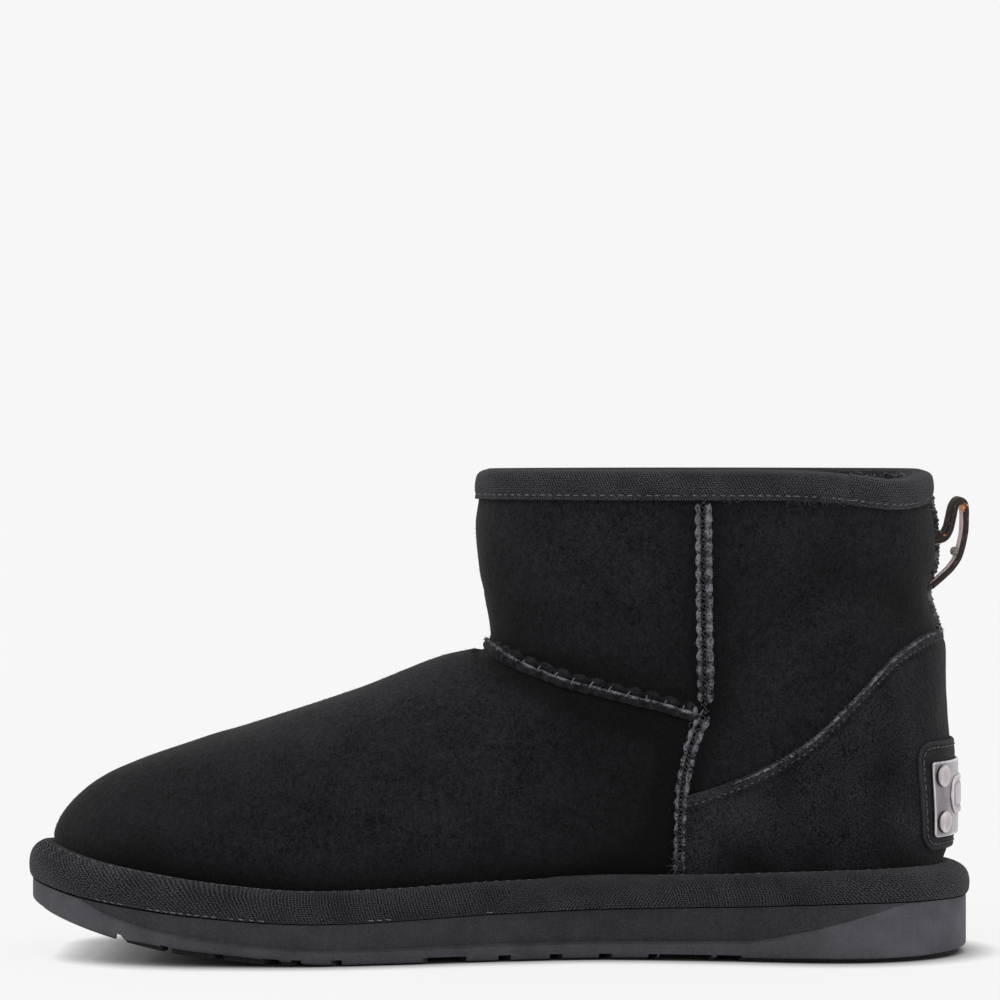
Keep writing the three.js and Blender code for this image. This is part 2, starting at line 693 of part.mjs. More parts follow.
// Round the heel by a turn about an upright axis inside it.
function badgePoint(turn, z, out) {
  const x = ridge.back(z) + COUNTER_REACH * (1 - Math.cos(turn));
  return heelPoint(x, z, turn, out);
}

// The turn at which the heel's face is a length away from its back, along the curve.
function heelReach(length, z, out) {
  const step = 0.005;
  let [turn, gone] = [0, 0];
  let last = badgePoint(0, z, out);
  while (gone < length) {
    turn += step;
    const next = badgePoint(turn, z, out);
    gone += next.distanceTo(last);
    last = next;
  }
  return turn;
}

// A curved rectangle round the back of the heel, with rounded corners.
function heelBadge({ low, high, wide, flare, thick, corner, columns, rows }, out) {
  const middle = (low + high) / 2;
  const reach = heelReach(wide / 2, middle, out);
  const flared = (z) => reach * (1 + (flare * (z - middle)) / (wide / 2));
  const face = (away) =>
    steps(-1, 1, columns).map((across) => {
      const fromEnd = (1 - Math.abs(across)) * (wide / 2);
      const short = corner * (1 - roundedEnd(fromEnd, corner, 2));
      return steps(low + short, high - short, rows).map((z) => badgePoint(across * flared(z), z, away));
    });
  return sheetSolid(face(out + thick), face(out));
}

function dome(radius, height) {
  const profile = DOME_SECTION.map(({ out, up }) => new THREE.Vector2(out * radius, up * height));
  return new THREE.LatheGeometry(profile, DOME_SIDES);
}

// Stands a dome on the plate, facing straight out of it.
function standOnPlate(mesh, turn, z) {
  const out = PLATE_OUT + PLATE.thick;
  const aside = badgePoint(turn + 0.01, z, out).sub(badgePoint(turn - 0.01, z, out));
  const above = badgePoint(turn, z + 1, out).sub(badgePoint(turn, z - 1, out));
  const normal = above.cross(aside).normalize();
  mesh.position.copy(badgePoint(turn, z, out)).addScaledVector(normal, GAP);
  mesh.quaternion.setFromUnitVectors(new THREE.Vector3(0, 1, 0), normal);
}

// --- Pull loop -------------------------------------------------------------

function pullLoop() {
  const line = new THREE.CatmullRomCurve3(
    STRAP_LINE.map(({ at, height }) => new THREE.Vector3(at, 0, height)),
    false,
    "centripetal",
  );
  const across = new THREE.Vector3(0, 1, 0);
  const face = (away) =>
    steps(0, 1, STRAP.steps).map((t) => {
      const off = new THREE.Vector3().crossVectors(line.getTangentAt(t), across).normalize();
      const middle = line.getPointAt(t).addScaledVector(off, away);
      return [-1, 1].map((end) => middle.clone().setY(SHAFT_MIDDLE + (end * STRAP.wide) / 2));
    });
  return sheetSolid(face(STRAP.thick / 2), face(-STRAP.thick / 2));
}

// --- The boot --------------------------------------------------------------

const material = (color, roughness, metalness = 0) =>
  new THREE.MeshStandardMaterial({ color, roughness, metalness });
const SUEDE_BLACK = material(0x1f1e20, 0.95);
const LEATHER_BLACK = material(0x232226, 0.8);
const TAPE_GREY = material(0x35343a, 0.85);
const FOAM_GREY = material(0x3c3b40, 0.7);
const WOOL_GREY = material(0x3a3a3d, 1);
const GUNMETAL = material(0x9a9699, 0.35, 1);
const RIBBON_BROWN = material(0x2a2220, 0.75);

const boot = new THREE.Group();
function piece(name, geometry, look) {
  const mesh = new THREE.Mesh(geometry, look);
  mesh.name = name;
  boot.add(mesh);
  return mesh;
}

piece("outsole", outsole(), FOAM_GREY);
piece("sole_binding", soleBinding(), TAPE_GREY);
piece("insole", insole(), WOOL_GREY);
piece("upper", upper(), SUEDE_BLACK);
piece("collar_binding", collarBinding(), TAPE_GREY);
piece("heel_counter", heelCounter(), SUEDE_BLACK);
piece("heel_patch", heelBadge(PATCH, PATCH_OUT), LEATHER_BLACK);
piece("badge_plate", heelBadge(PLATE, PLATE_OUT), GUNMETAL);
piece("pull_loop", pullLoop(), RIBBON_BROWN);

const plateMiddle = (PLATE.low + PLATE.high) / 2;
const rivetTurn = (z) =>
  heelReach(PLATE.wide / 2 - RIVET.in + PLATE.flare * (z - plateMiddle), plateMiddle, PLATE_OUT);
const rivetHeights = { low: PLATE.low + RIVET.up, high: PLATE.high - RIVET.up };
for (const [side, sign] of Object.entries({ inner: 1, outer: -1 })) {
  for (const [end, z] of Object.entries(rivetHeights)) {
    const head = piece(`rivet_${side}_${end}`, dome(RIVET.radius, RIVET.height), GUNMETAL);
    standOnPlate(head, sign * rivetTurn(z), z);
  }
}
piece("badge_boss", heelBadge(BOSS, BOSS_OUT), GUNMETAL);

export default boot;
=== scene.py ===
# %% [markdown]
# # A sheepskin ankle boot, piece by piece
#
# This lesson dresses the packed frame of a short sheepskin boot. The frame gives the real sizes and
# where every piece sits. Each step makes one piece or one finish and lays it over the frame, so that
# nothing has to be fitted afterwards.
#
# Lengths are millimetres in all the sums and become metres only when a mesh is made. The toe points
# towards +X, the inner (big toe) side towards +Y, and the sole stands on z = 0.

# %% Load the frame
from math import pi
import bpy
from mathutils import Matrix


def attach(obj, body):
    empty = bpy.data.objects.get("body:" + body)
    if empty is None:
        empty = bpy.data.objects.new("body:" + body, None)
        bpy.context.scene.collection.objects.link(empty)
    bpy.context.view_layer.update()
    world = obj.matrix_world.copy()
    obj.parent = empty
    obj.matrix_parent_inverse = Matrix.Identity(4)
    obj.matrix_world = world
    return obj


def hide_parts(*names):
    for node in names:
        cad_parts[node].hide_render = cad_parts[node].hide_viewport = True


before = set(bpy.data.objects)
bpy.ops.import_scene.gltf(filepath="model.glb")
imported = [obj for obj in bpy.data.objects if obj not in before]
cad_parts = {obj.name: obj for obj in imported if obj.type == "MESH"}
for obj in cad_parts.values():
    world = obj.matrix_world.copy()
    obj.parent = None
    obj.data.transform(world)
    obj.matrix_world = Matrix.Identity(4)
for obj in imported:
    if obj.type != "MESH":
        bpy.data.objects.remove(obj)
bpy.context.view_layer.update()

from types import SimpleNamespace

import bpy
import numpy as np
from mathutils import noise

MM = 0.001

# %% [markdown]
# ## Camera and light
#
# The boot is seen level from its inner side, with a long lens a little over a metre away, so that
# near and far sides hardly differ in size.
#
# Black suede only shows its nap in light that comes from everywhere. A white world lights the boot
# evenly, and one wide sun adds a little direction. A sun is as strong far away as it is near, so
# the floor has one brightness all the way to the horizon. Its grey is worked out so that lit floor
# and world look the same, and no horizon shows. Most of the floor's light is its own, as on a light
# table, which keeps the shadows under the boot pale. That light fades only close to the boot, and a
# Gamma node makes it fade faster the nearer the boot is.

# %% Camera
VIEW = SimpleNamespace(away=1150, height=137, lens=135, near=50, far=200_000)


def add_object(name, data):
    """An object in the scene, from its data."""
    made = bpy.data.objects.new(name, data)
    bpy.context.scene.collection.objects.link(made)
    return made


camera = add_object("camera", bpy.data.cameras.new("camera"))
camera.data.lens = VIEW.lens
camera.data.clip_start, camera.data.clip_end = VIEW.near * MM, VIEW.far * MM
camera.location = (0, VIEW.away * MM, VIEW.height * MM)
camera.rotation_euler = (pi / 2, 0, pi)
bpy.context.scene.camera = camera

# %% World and sun
WORLD = 0.93
SUN = SimpleNamespace(strength=0.7, width=1.2, tilt=0.55, turn=2.6)


def grey(value):
    return (value, value, value, 1)


bpy.context.scene.view_settings.view_transform = "Standard"
world = bpy.data.worlds.new("pale studio")
bpy.context.scene.world = world
world.use_nodes = True
world.node_tree.nodes["Background"].inputs["Color"].default_value = grey(WORLD)

sun = add_object("sun", bpy.data.lights.new("sun", "SUN"))
sun.data.energy = SUN.strength
sun.data.angle = SUN.width
sun.rotation_euler = (SUN.tilt, 0, SUN.turn)

# %% Floor
FLOOR = SimpleNamespace(reach=120, glow=0.9)
SHADOW = SimpleNamespace(reach=12.5, deepness=1.7)
sun_on_floor = SUN.strength * np.cos(SUN.tilt) / pi
floor_grey = (1 - FLOOR.glow) * WORLD / (WORLD + sun_on_floor)

bpy.ops.mesh.primitive_circle_add(vertices=3, radius=FLOOR.reach, fill_type="NGON")
floor = bpy.context.object
floor.name = "floor"
floor_paint = bpy.data.materials.new("pale floor")
floor_paint.use_nodes = True
nodes, links = floor_paint.node_tree.nodes, floor_paint.node_tree.links
floor_shader = nodes["Principled BSDF"]
floor_shader.inputs["Base Color"].default_value = grey(floor_grey)
floor_shader.inputs["Emission Strength"].default_value = FLOOR.glow
floor_shader.inputs["Roughness"].default_value = 1
floor_shader.inputs["Specular IOR Level"].default_value = 0
near_things = nodes.new("ShaderNodeAmbientOcclusion")
near_things.inputs["Color"].default_value = grey(WORLD ** (1 / SHADOW.deepness))
near_things.inputs["Distance"].default_value = SHADOW.reach * MM
deeper = nodes.new("ShaderNodeGamma")
deeper.inputs["Gamma"].default_value = SHADOW.deepness
links.new(near_things.outputs["Color"], deeper.inputs["Color"])
links.new(deeper.outputs["Color"], floor_shader.inputs["Emission Color"])
floor.data.materials.append(floor_paint)
print("floor grey", round(floor_grey, 3))

# %% [markdown]
# ## Smooth curves through short tables
#
# A last is drawn from a few measured sections, and everything between them runs smoothly. A short
# table with a named column for each size does the same here. The curve between rows is a cubic that
# never swings past them, so that a width between two rows is never wider or narrower than both.
# Every function takes whole arrays, because a fine mesh asks for a hundred thousand points at once.

# %% Curves and steps
def smooth_curve(x, y):
    """A smooth curve through points, as a function of a number or an array."""
    rise = np.diff(y) / np.diff(x)
    same_way = rise[:-1] * rise[1:] > 0
    total = np.where(same_way, rise[:-1] + rise[1:], 1)
    slope = np.concatenate([rise[:1], np.where(same_way, 2 * rise[:-1] * rise[1:] / total, 0), rise[-1:]])

    def at(value):
        inside = np.clip(value, x[0], x[-1])
        i = np.clip(np.searchsorted(x, inside, side="right") - 1, 0, len(x) - 2)
        span = x[i + 1] - x[i]
        t = (inside - x[i]) / span
        u = 1 - t
        ends = y[i] * u * u * (1 + 2 * t) + y[i + 1] * t * t * (1 + 2 * u)
        return ends + span * t * u * (slope[i] * u - slope[i + 1] * t)

    return at


def table(columns, rows):
    """Smooth curves by name: the first column is the place, each other column a size there."""
    values = np.array(rows, float)
    names = columns.split()[1:]
    curves = {name: smooth_curve(values[:, 0], values[:, i + 1]) for i, name in enumerate(names)}
    return SimpleNamespace(**curves)


def mix(a, b, share):
    return a + (b - a) * share


def smooth_step(low, high, value):
    t = np.clip((value - low) / (high - low), 0, 1)
    return t * t * (3 - 2 * t)


def bell(distance, width):
    """1 at no distance, fading to nothing over about twice the width."""
    return np.exp(-((distance / width) ** 2))


def unit(vectors):
    return vectors / np.maximum(np.linalg.norm(vectors, axis=-1, keepdims=True), 1e-9)


def rounded_end(distance, length, power):
    """How wide a rounded end is at a distance in from its tip, as a share of the full width."""
    left = 1 - np.clip(distance / length, 0, 1)
    return (1 - left**power) ** (1 / power)


# %% [markdown]
# ## The sole's lines
#
# The sole is drawn from above as a middle line with a half width on each side, closed by a rounded
# toe and heel. Seen from the side it is flat up to the ball and then springs up on a large arc.
# Its side wall has a light ledge along the bottom and is cut back above it.

# %% Sole plan and side
TOE, HEEL, GAP = 143, -143, 0.3
OVERHANG = 1.1
TOE_CAP = SimpleNamespace(length=55, power=2.25)
HEEL_CAP = SimpleNamespace(length=42, power=2.2)
SPRING = SimpleNamespace(starts=50, radius=282)

sole_plan = table("at middle inner outer", [
    (-144, 5, 36, 35),
    (-100, 5, 39, 38.5),
    (-60, 3, 35, 41.5),
    (-30, 2, 33, 45),
    (0, 2.5, 37, 51),
    (30, 3.5, 44, 56.2),
    (60, 4.5, 48.5, 57),
    (90, 6.5, 46, 51.5),
    (120, 8, 40, 42),
    (144, 8.5, 33, 33),
])
sole_side = table("at edge ledge cutback thick", [
    (-144, 2.4, 17.3, 0, 17.4),
    (-122, 1.5, 16.6, 0.1, 17.6),
    (-110, 1.4, 13.6, 0.5, 17.6),
    (-90, 1.4, 8.4, 1.2, 17.0),
    (-72, 1.3, 5.4, 1.8, 16.2),
    (-30, 0.8, 4.7, 2.0, 15.0),
    (0, 0.6, 4.6, 2.0, 14.1),
    (45, 0.6, 4.0, 1.8, 12.4),
    (78, 2.0, 4.8, 1.5, 12.1),
    (104, 1.4, 5.1, 1.1, 10.9),
    (115, 0.7, 5.8, 0.8, 9.9),
    (126, 0.7, 7.6, 0.3, 8.7),
    (144, 1.4, 7.1, 0, 7.2),
])


def bottom_at(x):
    along = np.maximum(x - SPRING.starts, 0)
    return SPRING.radius - np.sqrt(SPRING.radius**2 - along**2)


def sole_top_at(x):
    return bottom_at(x) + sole_side.thick(x)


def sole_edge(angle, inset):
    """Place on the sole's plan at an angle round it, drawn in from the edge by inset."""
    x = (TOE - inset) * np.cos(angle)
    side = np.where(np.sin(angle) >= 0, 1, -1)
    half = np.where(side > 0, sole_plan.inner(x), sole_plan.outer(x))
    toe = rounded_end(TOE - inset - x, TOE_CAP.length - inset, TOE_CAP.power)
    heel = rounded_end(x - HEEL - inset, HEEL_CAP.length - inset, HEEL_CAP.power)
    return x, sole_plan.middle(x) + side * (half - inset) * toe * heel


# %% [markdown]
# ## The upper's surface
#
# At each height the boot's outline is the larger of two shapes: a foot that ends in front at the
# ridge of the instep, and an upright shaft. They run softly into each other. An angle goes round the
# boot, from 0 at the front over the inner side to a half turn at the heel, and a level goes up it.
# Low levels bend down to the sole, and high ones bend up to the rim, so that the rows of every mesh
# follow both edges.

# %% Foot and shaft
LOWEST, HIGHEST = 40, 128
RIM_HEIGHT, RIM_DROP, RIM_TILT = 147.3, 2.3, 1.2
RIM_DIP = SimpleNamespace(amount=3, angle=145, width=21)
PLAN_HIGH = (22, 62)
ANKLE = (70, 100)
HEEL_END = SimpleNamespace(low=34, high=62, power=2.2, rises=(60, 110))
BULGE = SimpleNamespace(amount=0.035, height=38)
SHAFT = SimpleNamespace(middle=3.5, power=2.15)
MERGE = 0.25
NORMAL_STEP = (0.02, 0.4)

foot_plan = table("at middle inner outer inner_high outer_high", [
    (-136, 5, 29, 28, 31, 30),
    (-100, 5, 31, 30.5, 32.5, 32),
    (-60, 3.5, 27.5, 33, 33.5, 34),
    (-30, 3, 25.5, 36.5, 34.5, 36.5),
    (0, 3.5, 29, 42, 36, 41),
    (30, 4, 36, 47, 39, 44.5),
    (60, 5, 40.5, 48, 41.5, 46),
    (90, 6.5, 38, 43, 38.5, 41.5),
    (120, 8, 33, 34.5, 32, 33),
    (137, 8.5, 27, 27, 25, 25),
])
foot = table("height back ridge reach power", [
    (14, -133.4, 134.6, 55, 2.25),
    (27, -134.4, 135.9, 56, 2.25),
    (34.5, -135.1, 136, 60, 2.2),
    (39.5, -135.4, 134.4, 70, 2.15),
    (44.4, -135.5, 131.2, 82, 2.1),
    (49.3, -135.5, 126.2, 94, 2.05),
    (54.2, -135.4, 118.6, 106, 2),
    (59.1, -135.4, 107.2, 115, 2),
    (64, -135.2, 92.5, 121, 2),
    (68.9, -134.9, 76, 124, 2),
    (78.7, -134.3, 45.8, 122, 2),
    (88.5, -134.3, 21.4, 112, 2),
    (91.2, -134.3, 14.5, 106, 2),
    (93.4, -134.1, 5, 100, 2),
    (98, -133.2, -12, 90, 2),
    (103.4, -132, -32, 84, 2),
    (108, -131.2, -46, 78, 2),
    (112.5, -131.3, -58, 72, 2),
    (117, -132.4, -62, 70, 2),
    (123, -132.8, -62, 70, 2),
    (130, -132.3, -62, 70, 2),
    (137, -130.9, -62, 70, 2),
    (148, -130.6, -62, 70, 2),
])
shaft = table("height front half", [
    (14, -100, 22),
    (45, -84, 28),
    (60, -70, 31),
    (74, -54, 33.5),
    (82, -30, 34.5),
    (88, -8, 35),
    (92, 4, 35.5),
    (98, 3.4, 36),
    (106, 4.6, 37),
    (116, 6.4, 38.5),
    (130, 7.4, 40),
    (138, 6.4, 40.6),
    (148, 5.6, 41),
])


def front_at(z):
    return np.maximum(foot.ridge(z), shaft.front(z))


def upper_y(x, z, side):
    """How far out the upper's face is, at a place along the boot and a height."""
    low = np.where(side > 0, foot_plan.inner(x), foot_plan.outer(x))
    high = np.where(side > 0, foot_plan.inner_high(x), foot_plan.outer_high(x))
    above = np.clip((z - sole_top_at(x)) / BULGE.height, 0, 1)
    wide = mix(low, high, smooth_step(*PLAN_HIGH, z)) * (1 + BULGE.amount * np.sin(pi * above))
    wide = wide * rounded_end(foot.ridge(z) - x, foot.reach(z), foot.power(z))
    front = shaft.front(z)
    tube = shaft.half(z) * rounded_end(front - x, (front - foot.back(z)) / 2, SHAFT.power)
    wider = np.maximum(wide, tube)
    reach = MERGE * wider + 1e-6
    overlap = np.maximum(reach - np.abs(wide - tube), 0)
    back_length = mix(HEEL_END.low, HEEL_END.high, smooth_step(*HEEL_END.rises, z))
    heel = rounded_end(x - foot.back(z), back_length, HEEL_END.power)
    middle = mix(foot_plan.middle(x), SHAFT.middle, smooth_step(*ANKLE, z))
    return middle + side * (wider + overlap**2 / (4 * reach)) * heel


def rim_at(angle):
    dip = RIM_DIP.amount * bell(np.degrees(angle) - RIM_DIP.angle, RIM_DIP.width)
    return RIM_HEIGHT - RIM_TILT * (1 + np.sin(angle)) / 2 - dip


def upper_point(angle, level, rim_drop=RIM_DROP):
    """Points of the upper's outer face, as an array with x, y and z last."""
    angle, level = np.broadcast_arrays(np.asarray(angle, float), np.asarray(level, float))
    z = level
    for _ in range(6):
        back, front = foot.back(z), front_at(z)
        x = (front + back) / 2 + (front - back) / 2 * np.cos(angle)
        low = mix(sole_top_at(x) + GAP, LOWEST, level / LOWEST)
        up = (level - HIGHEST) / (RIM_HEIGHT - HIGHEST)
        high = mix(HIGHEST, rim_at(angle) - rim_drop, up)
        z = np.where(level < LOWEST, low, np.where(level > HIGHEST, high, level))
    side = np.where(np.sin(angle) >= 0, 1, -1)
    return np.stack([x, upper_y(x, z, side), z], axis=-1)


def upper_normal(angle, level, rim_drop=RIM_DROP):
    """The outward direction there, from points a little to each side."""
    turn, rise = NORMAL_STEP
    along = upper_point(angle + turn, level, rim_drop) - upper_point(angle - turn, level, rim_drop)
    above = upper_point(angle, np.clip(level + rise, 0, RIM_HEIGHT), rim_drop)
    below = upper_point(angle, np.clip(level - rise, 0, RIM_HEIGHT), rim_drop)
    return unit(np.cross(along, above - below))


def level_out(angle, level, rim_drop=RIM_DROP):
    """The outward direction without its rise or fall."""
    return unit(upper_normal(angle, level, rim_drop) * (1, 1, 0))


def sideways(angle, level, out, rim_drop=RIM_DROP):
    """A point moved outwards without changing its height."""
    flat = level_out(angle, level, rim_drop)
    return upper_point(angle, level, rim_drop) + flat * np.asarray(out, float)[..., None]


print("ball is", np.ptp(upper_point(np.array([1.2, -1.2]), 30)[:, 1]).round(1), "mm wide over the upper")

# %% [markdown]
# ## Places given from the side
#
# A maker marks seams and folds on the side of the boot, by how far along they are and how high.
# These helpers turn such a mark into the angle and level that the surface works with.

# %% From place and height to angle and level
def angle_at(x, z):
    front, back = front_at(z), foot.back(z)
    return np.arccos(np.clip((x - (front + back) / 2) / ((front - back) / 2), -1, 1))


def level_at(x, z):
    base = sole_top_at(x) + GAP
    low = np.maximum(LOWEST * (z - base) / (LOWEST - base), 0)
    return np.where(z >= LOWEST, z, low)


def turn_to_side(angle, side):
    """Side 1 is the inner side and -1 the outer one."""
    return np.where(side > 0, angle, 2 * pi - angle)


# %% [markdown]
# ## Soft folds
#
# Thick sheepskin does not crumple: it swells and dips in a few broad folds. Each row here is one
# fold, placed along a line on the side of the boot, with its height (a dip is negative) and
# how wide it spreads. The skin also sinks towards every seam, where the thread pulls the wool flat.
# Working this into the surface itself, and not only into a bump map, lets overlays and seams follow.

# %% The fold table
BOTH, INNER, OUTER = 0, 1, -1
SIDES = ((INNER, "inner"), (OUTER, "outer"))
FOLDS = [
    # side, from x, z, to x, z, height, width
    (INNER, 14, 40, -12, 68, 0.5, 11),
    (INNER, 44, 45, 24, 48, 0.5, 8),
    (BOTH, -24, 62, -40, 34, -0.9, 14),
    (BOTH, -50, 66, -48, 28, -1.0, 8),
    (INNER, 90, 50, 84, 34, 0.4, 7),
    (INNER, 62, 60, 48, 36, -0.3, 9),
    (INNER, -16, 124, -38, 128, 0.5, 9),
    (INNER, -22, 106, -24, 98, 0.5, 7),
    (BOTH, -8, 104, -44, 90, -0.6, 6),
    (BOTH, 0, 118, -2, 104, -0.5, 6),
    (INNER, -77, 76, -84, 86, 0.9, 6),
    (INNER, -86, 96, -102, 104, 0.9, 7),
    (BOTH, -72, 130, -88, 136, 0.5, 7),
    (BOTH, -100, 116, -118, 108, -1.3, 8),
    (BOTH, -68, 112, -92, 112, -0.5, 8),
    (BOTH, -122, 104, -134, 110, -0.9, 6),
    (OUTER, -70, 82, -98, 98, 0.8, 8),
    (OUTER, 30, 42, -14, 66, 0.6, 12),
    (OUTER, 70, 56, 52, 34, -0.4, 10),
    (OUTER, -18, 126, -36, 104, 0.6, 9),
]
side_seam = table("height at", [
    (20, -53.6),
    (47, -54),
    (62, -56.5),
    (68, -58.6),
    (74, -61),
    (100, -60.6),
    (137, -60),
])
throat_seam = table("at height", [
    (-61, 73),
    (-56.6, 73.8),
    (-47.7, 76.5),
    (-38.8, 78.5),
    (-30, 80.8),
    (-21, 82.9),
    (-13.6, 85.5),
    (-6, 88.5),
    (0, 91.5),
    (5, 94.6),
])
THROAT = SimpleNamespace(back=-61, front=8, steepness=0.92, end=(-59.5, 73), lowest=68, highest=99)
FAR = 99
SEAM_PULL = SimpleNamespace(depth=0.9, width=4.2)
VAMP_STEP = SimpleNamespace(depth=1.1, width=12, fades=(26, 9))
SOLE_TUCK = SimpleNamespace(depth=1.4, above=8, height=5)
CALM_BELOW_RIM = (9, 20)
LUMPS = [SimpleNamespace(size=26, height=0.3), SimpleNamespace(size=9, height=0.09)]


def to_segment(x, z, start, end):
    """Distance in the side view to a straight stretch."""
    along = np.array(end, float) - start
    t = np.clip(((x - start[0]) * along[0] + (z - start[1]) * along[1]) / (along @ along), 0, 1)
    return np.hypot(x - start[0] - t * along[0], z - start[1] - t * along[1])


def lumps_at(points, size, seed=0):
    """Smooth noise from -1 to 1 that changes over about size millimetres."""
    flat = (points.reshape(-1, 3) / size + seed).tolist()
    return np.array([noise.noise(p) for p in flat]).reshape(points.shape[:-1])


def seam_distance(x, z):
    """How far a place on the side is from the nearer of the side seam and the throat seam."""
    side = np.abs(x - side_seam.at(z))
    throat = np.abs(z - throat_seam.height(x)) * THROAT.steepness
    return np.minimum(side, np.where((x > THROAT.back) & (x < THROAT.front), throat, FAR))


def is_vamp(x, z):
    """1 on the front piece, which lies under the shaft at the throat, and 0 on the others."""
    before_side = smooth_step(-1.5, 1.5, x - side_seam.at(z))
    under_throat = smooth_step(-1, 1, throat_seam.height(x) - z)
    return before_side * np.where(x > 5, 1, under_throat)


def relief(points):
    """How far folds, seams and lumps move the suede out, for points on the plain surface."""
    x, z = points[..., 0], points[..., 2]
    side = np.where(points[..., 1] > SHAFT.middle, 1, -1)
    out = np.zeros(x.shape)
    for where, x1, z1, x2, z2, height, width in FOLDS:
        applies = 1.0 if where == BOTH else (side == where)
        out += applies * height * bell(to_segment(x, z, (x1, z1), (x2, z2)), width)
    out -= SEAM_PULL.depth * bell(seam_distance(x, z), SEAM_PULL.width)
    step = VAMP_STEP.depth * is_vamp(x, z) * bell(z - throat_seam.height(x), VAMP_STEP.width)
    out -= step * smooth_step(*VAMP_STEP.fades, x)
    out -= SOLE_TUCK.depth * bell(z - sole_top_at(x) - SOLE_TUCK.above, SOLE_TUCK.height)
    for lump in LUMPS:
        out += lump.height * lumps_at(points, lump.size)
    near, far = CALM_BELOW_RIM
    return out * smooth_step(RIM_HEIGHT - near, RIM_HEIGHT - far, z)


def suede_point(angle, level, out=0.0):
    """The suede's real face, folds and all, moved out by a distance."""
    base = upper_point(angle, level)
    return base + upper_normal(angle, level) * (relief(base) + out)[..., None]


# %% [markdown]
# ## Meshes from rows of points
#
# Most pieces are grids: loops that go round the boot, or a section carried along a line. One
# function joins the points of a grid by quads, one gives it a UV map in millimetres for tapes and
# weaves, and one makes the object. Loops that do not close on themselves end in caps: one flat face
# where they are small, and rungs from side to side where they are as wide as the boot. A closed
# piece is turned, if need be, so that its faces point out, which its signed volume tells.

# %% Grids and pieces
def grid_faces(rows, columns, close_rows=False, close_columns=False):
    """Quads between neighbouring points; rows or columns may close on themselves."""
    r = np.arange(rows if close_rows else rows - 1)
    c = np.arange(columns if close_columns else columns - 1)
    r, c = np.meshgrid(r, c, indexing="ij")
    r2, c2 = (r + 1) % rows, (c + 1) % columns
    corners = [r * columns + c, r * columns + c2, r2 * columns + c2, r2 * columns + c]
    return np.stack(corners, axis=-1).reshape(-1, 4)


def grid_uv(u, v):
    """UV corners in the order of grid_faces, from u along the columns and v along the rows."""
    low_u, low_v = np.meshgrid(u[:-1], v[:-1])
    high_u, high_v = np.meshgrid(u[1:], v[1:])
    corners = [(low_u, low_v), (high_u, low_v), (high_u, high_v), (low_u, high_v)]
    return np.stack([np.stack(corner, axis=-1) for corner in corners], axis=2).reshape(-1, 4, 2)


def signed_volume(points, faces):
    a, b, c, d = (points[faces[:, i]] for i in range(4))
    halves = np.einsum("ij,ij->i", a, np.cross(b, c)) + np.einsum("ij,ij->i", a, np.cross(c, d))
    return halves.sum() / 6


def make_piece(name, points, quads, caps=(), uv=None, sharp=None):
    """A smooth mesh object from millimetre points. Caps are loops of points that close its ends."""
    points = np.asarray(points, float).reshape(-1, 3)
    centred = points - points.mean(axis=0)
    inside_out = signed_volume(centred, quads) < 0
    faces = [face[::-1] if inside_out else face for face in (*quads.tolist(), *map(list, caps))]
    mesh = bpy.data.meshes.new(name)
    mesh.from_pydata((points * MM).tolist(), [], faces)
    if uv is not None:
        corners = (uv[:, ::-1] if inside_out else uv).reshape(-1, 2)
        rest = np.zeros((len(mesh.loops) - len(corners), 2))
        layer = mesh.uv_layers.new(name="UVMap")
        layer.data.foreach_set("uv", np.concatenate([corners, rest]).astype(np.float32).ravel())
    mesh.shade_smooth()
    if sharp is not None:
        mesh.set_sharp_from_angle(angle=np.radians(sharp))
    return add_object(name, mesh)


def loops_piece(name, rows, caps=(), uv=None, closed=False):
    """A piece from closed loops of points, one to a row. It ends in caps, or closes on itself."""
    return make_piece(name, rows, grid_faces(*rows.shape[:2], closed, True), caps, uv)


def flat_ends(rows):
    """Caps that close the first and the last of a piece's loops with one face each."""
    last, sides = (len(rows) - 1) * rows.shape[1], rows.shape[1]
    return [list(range(sides))[::-1], list(range(last, last + sides))]


def ladder(start, count, upwards):
    """A cap for a wide loop of points: rungs from one side to the other."""
    half = count // 2
    loops = [[start, start + 1, start + count - 1]]
    for i in range(1, half - 1):
        loops.append([start + i, start + i + 1, start + count - i - 1, start + count - i])
    loops.append([start + half - 1, start + half, start + half + 1])
    return [loop if upwards else loop[::-1] for loop in loops]


def ladder_ends(rows):
    count = rows.shape[1]
    return ladder(0, count, False) + ladder((len(rows) - 1) * count, count, True)


def set_values(piece, name, values, domain="POINT"):
    """Stores a number for each point or face, which a material or a node tree can read."""
    layer = piece.data.attributes.new(name, "FLOAT", domain)
    layer.data.foreach_set("value", np.asarray(values, np.float32).ravel())


def round_length(loop):
    """Distance gone along a closed loop of points, from 0 to its whole length."""
    gaps = np.linalg.norm(np.roll(loop, -1, axis=0) - loop, axis=1)
    return np.concatenate([[0], np.cumsum(gaps)])


def path_length(path):
    gaps = np.linalg.norm(np.diff(path, axis=0), axis=1)
    return np.concatenate([[0], np.cumsum(gaps)])


def loop_angles(count):
    return 2 * pi * np.arange(count) / count


made_pieces = []


def hand_over(piece, look, slot, *nodes):
    """Gives a finished piece its material and its body, and says what it replaces. The slot is not used."""
    if look is not None:
        piece.data.materials.append(look)
    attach(piece, "root")
    if nodes:
        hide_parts(*nodes)
    triangles = sum(len(face.vertices) - 2 for face in piece.data.polygons)
    made_pieces.append(triangles)
    print(f"{piece.name}: {triangles} triangles")
    return piece


# %% [markdown]
# ## Shader sums as Python
#
# A material is a small graph of nodes. Wiring sums by hand hides what they say, so one small class
# wraps a socket and lets Python's own signs add the Math nodes: `1 - mask` or `grain * 0.4 + spots`
# read as they would on paper. Every other node comes from the one method `node`.

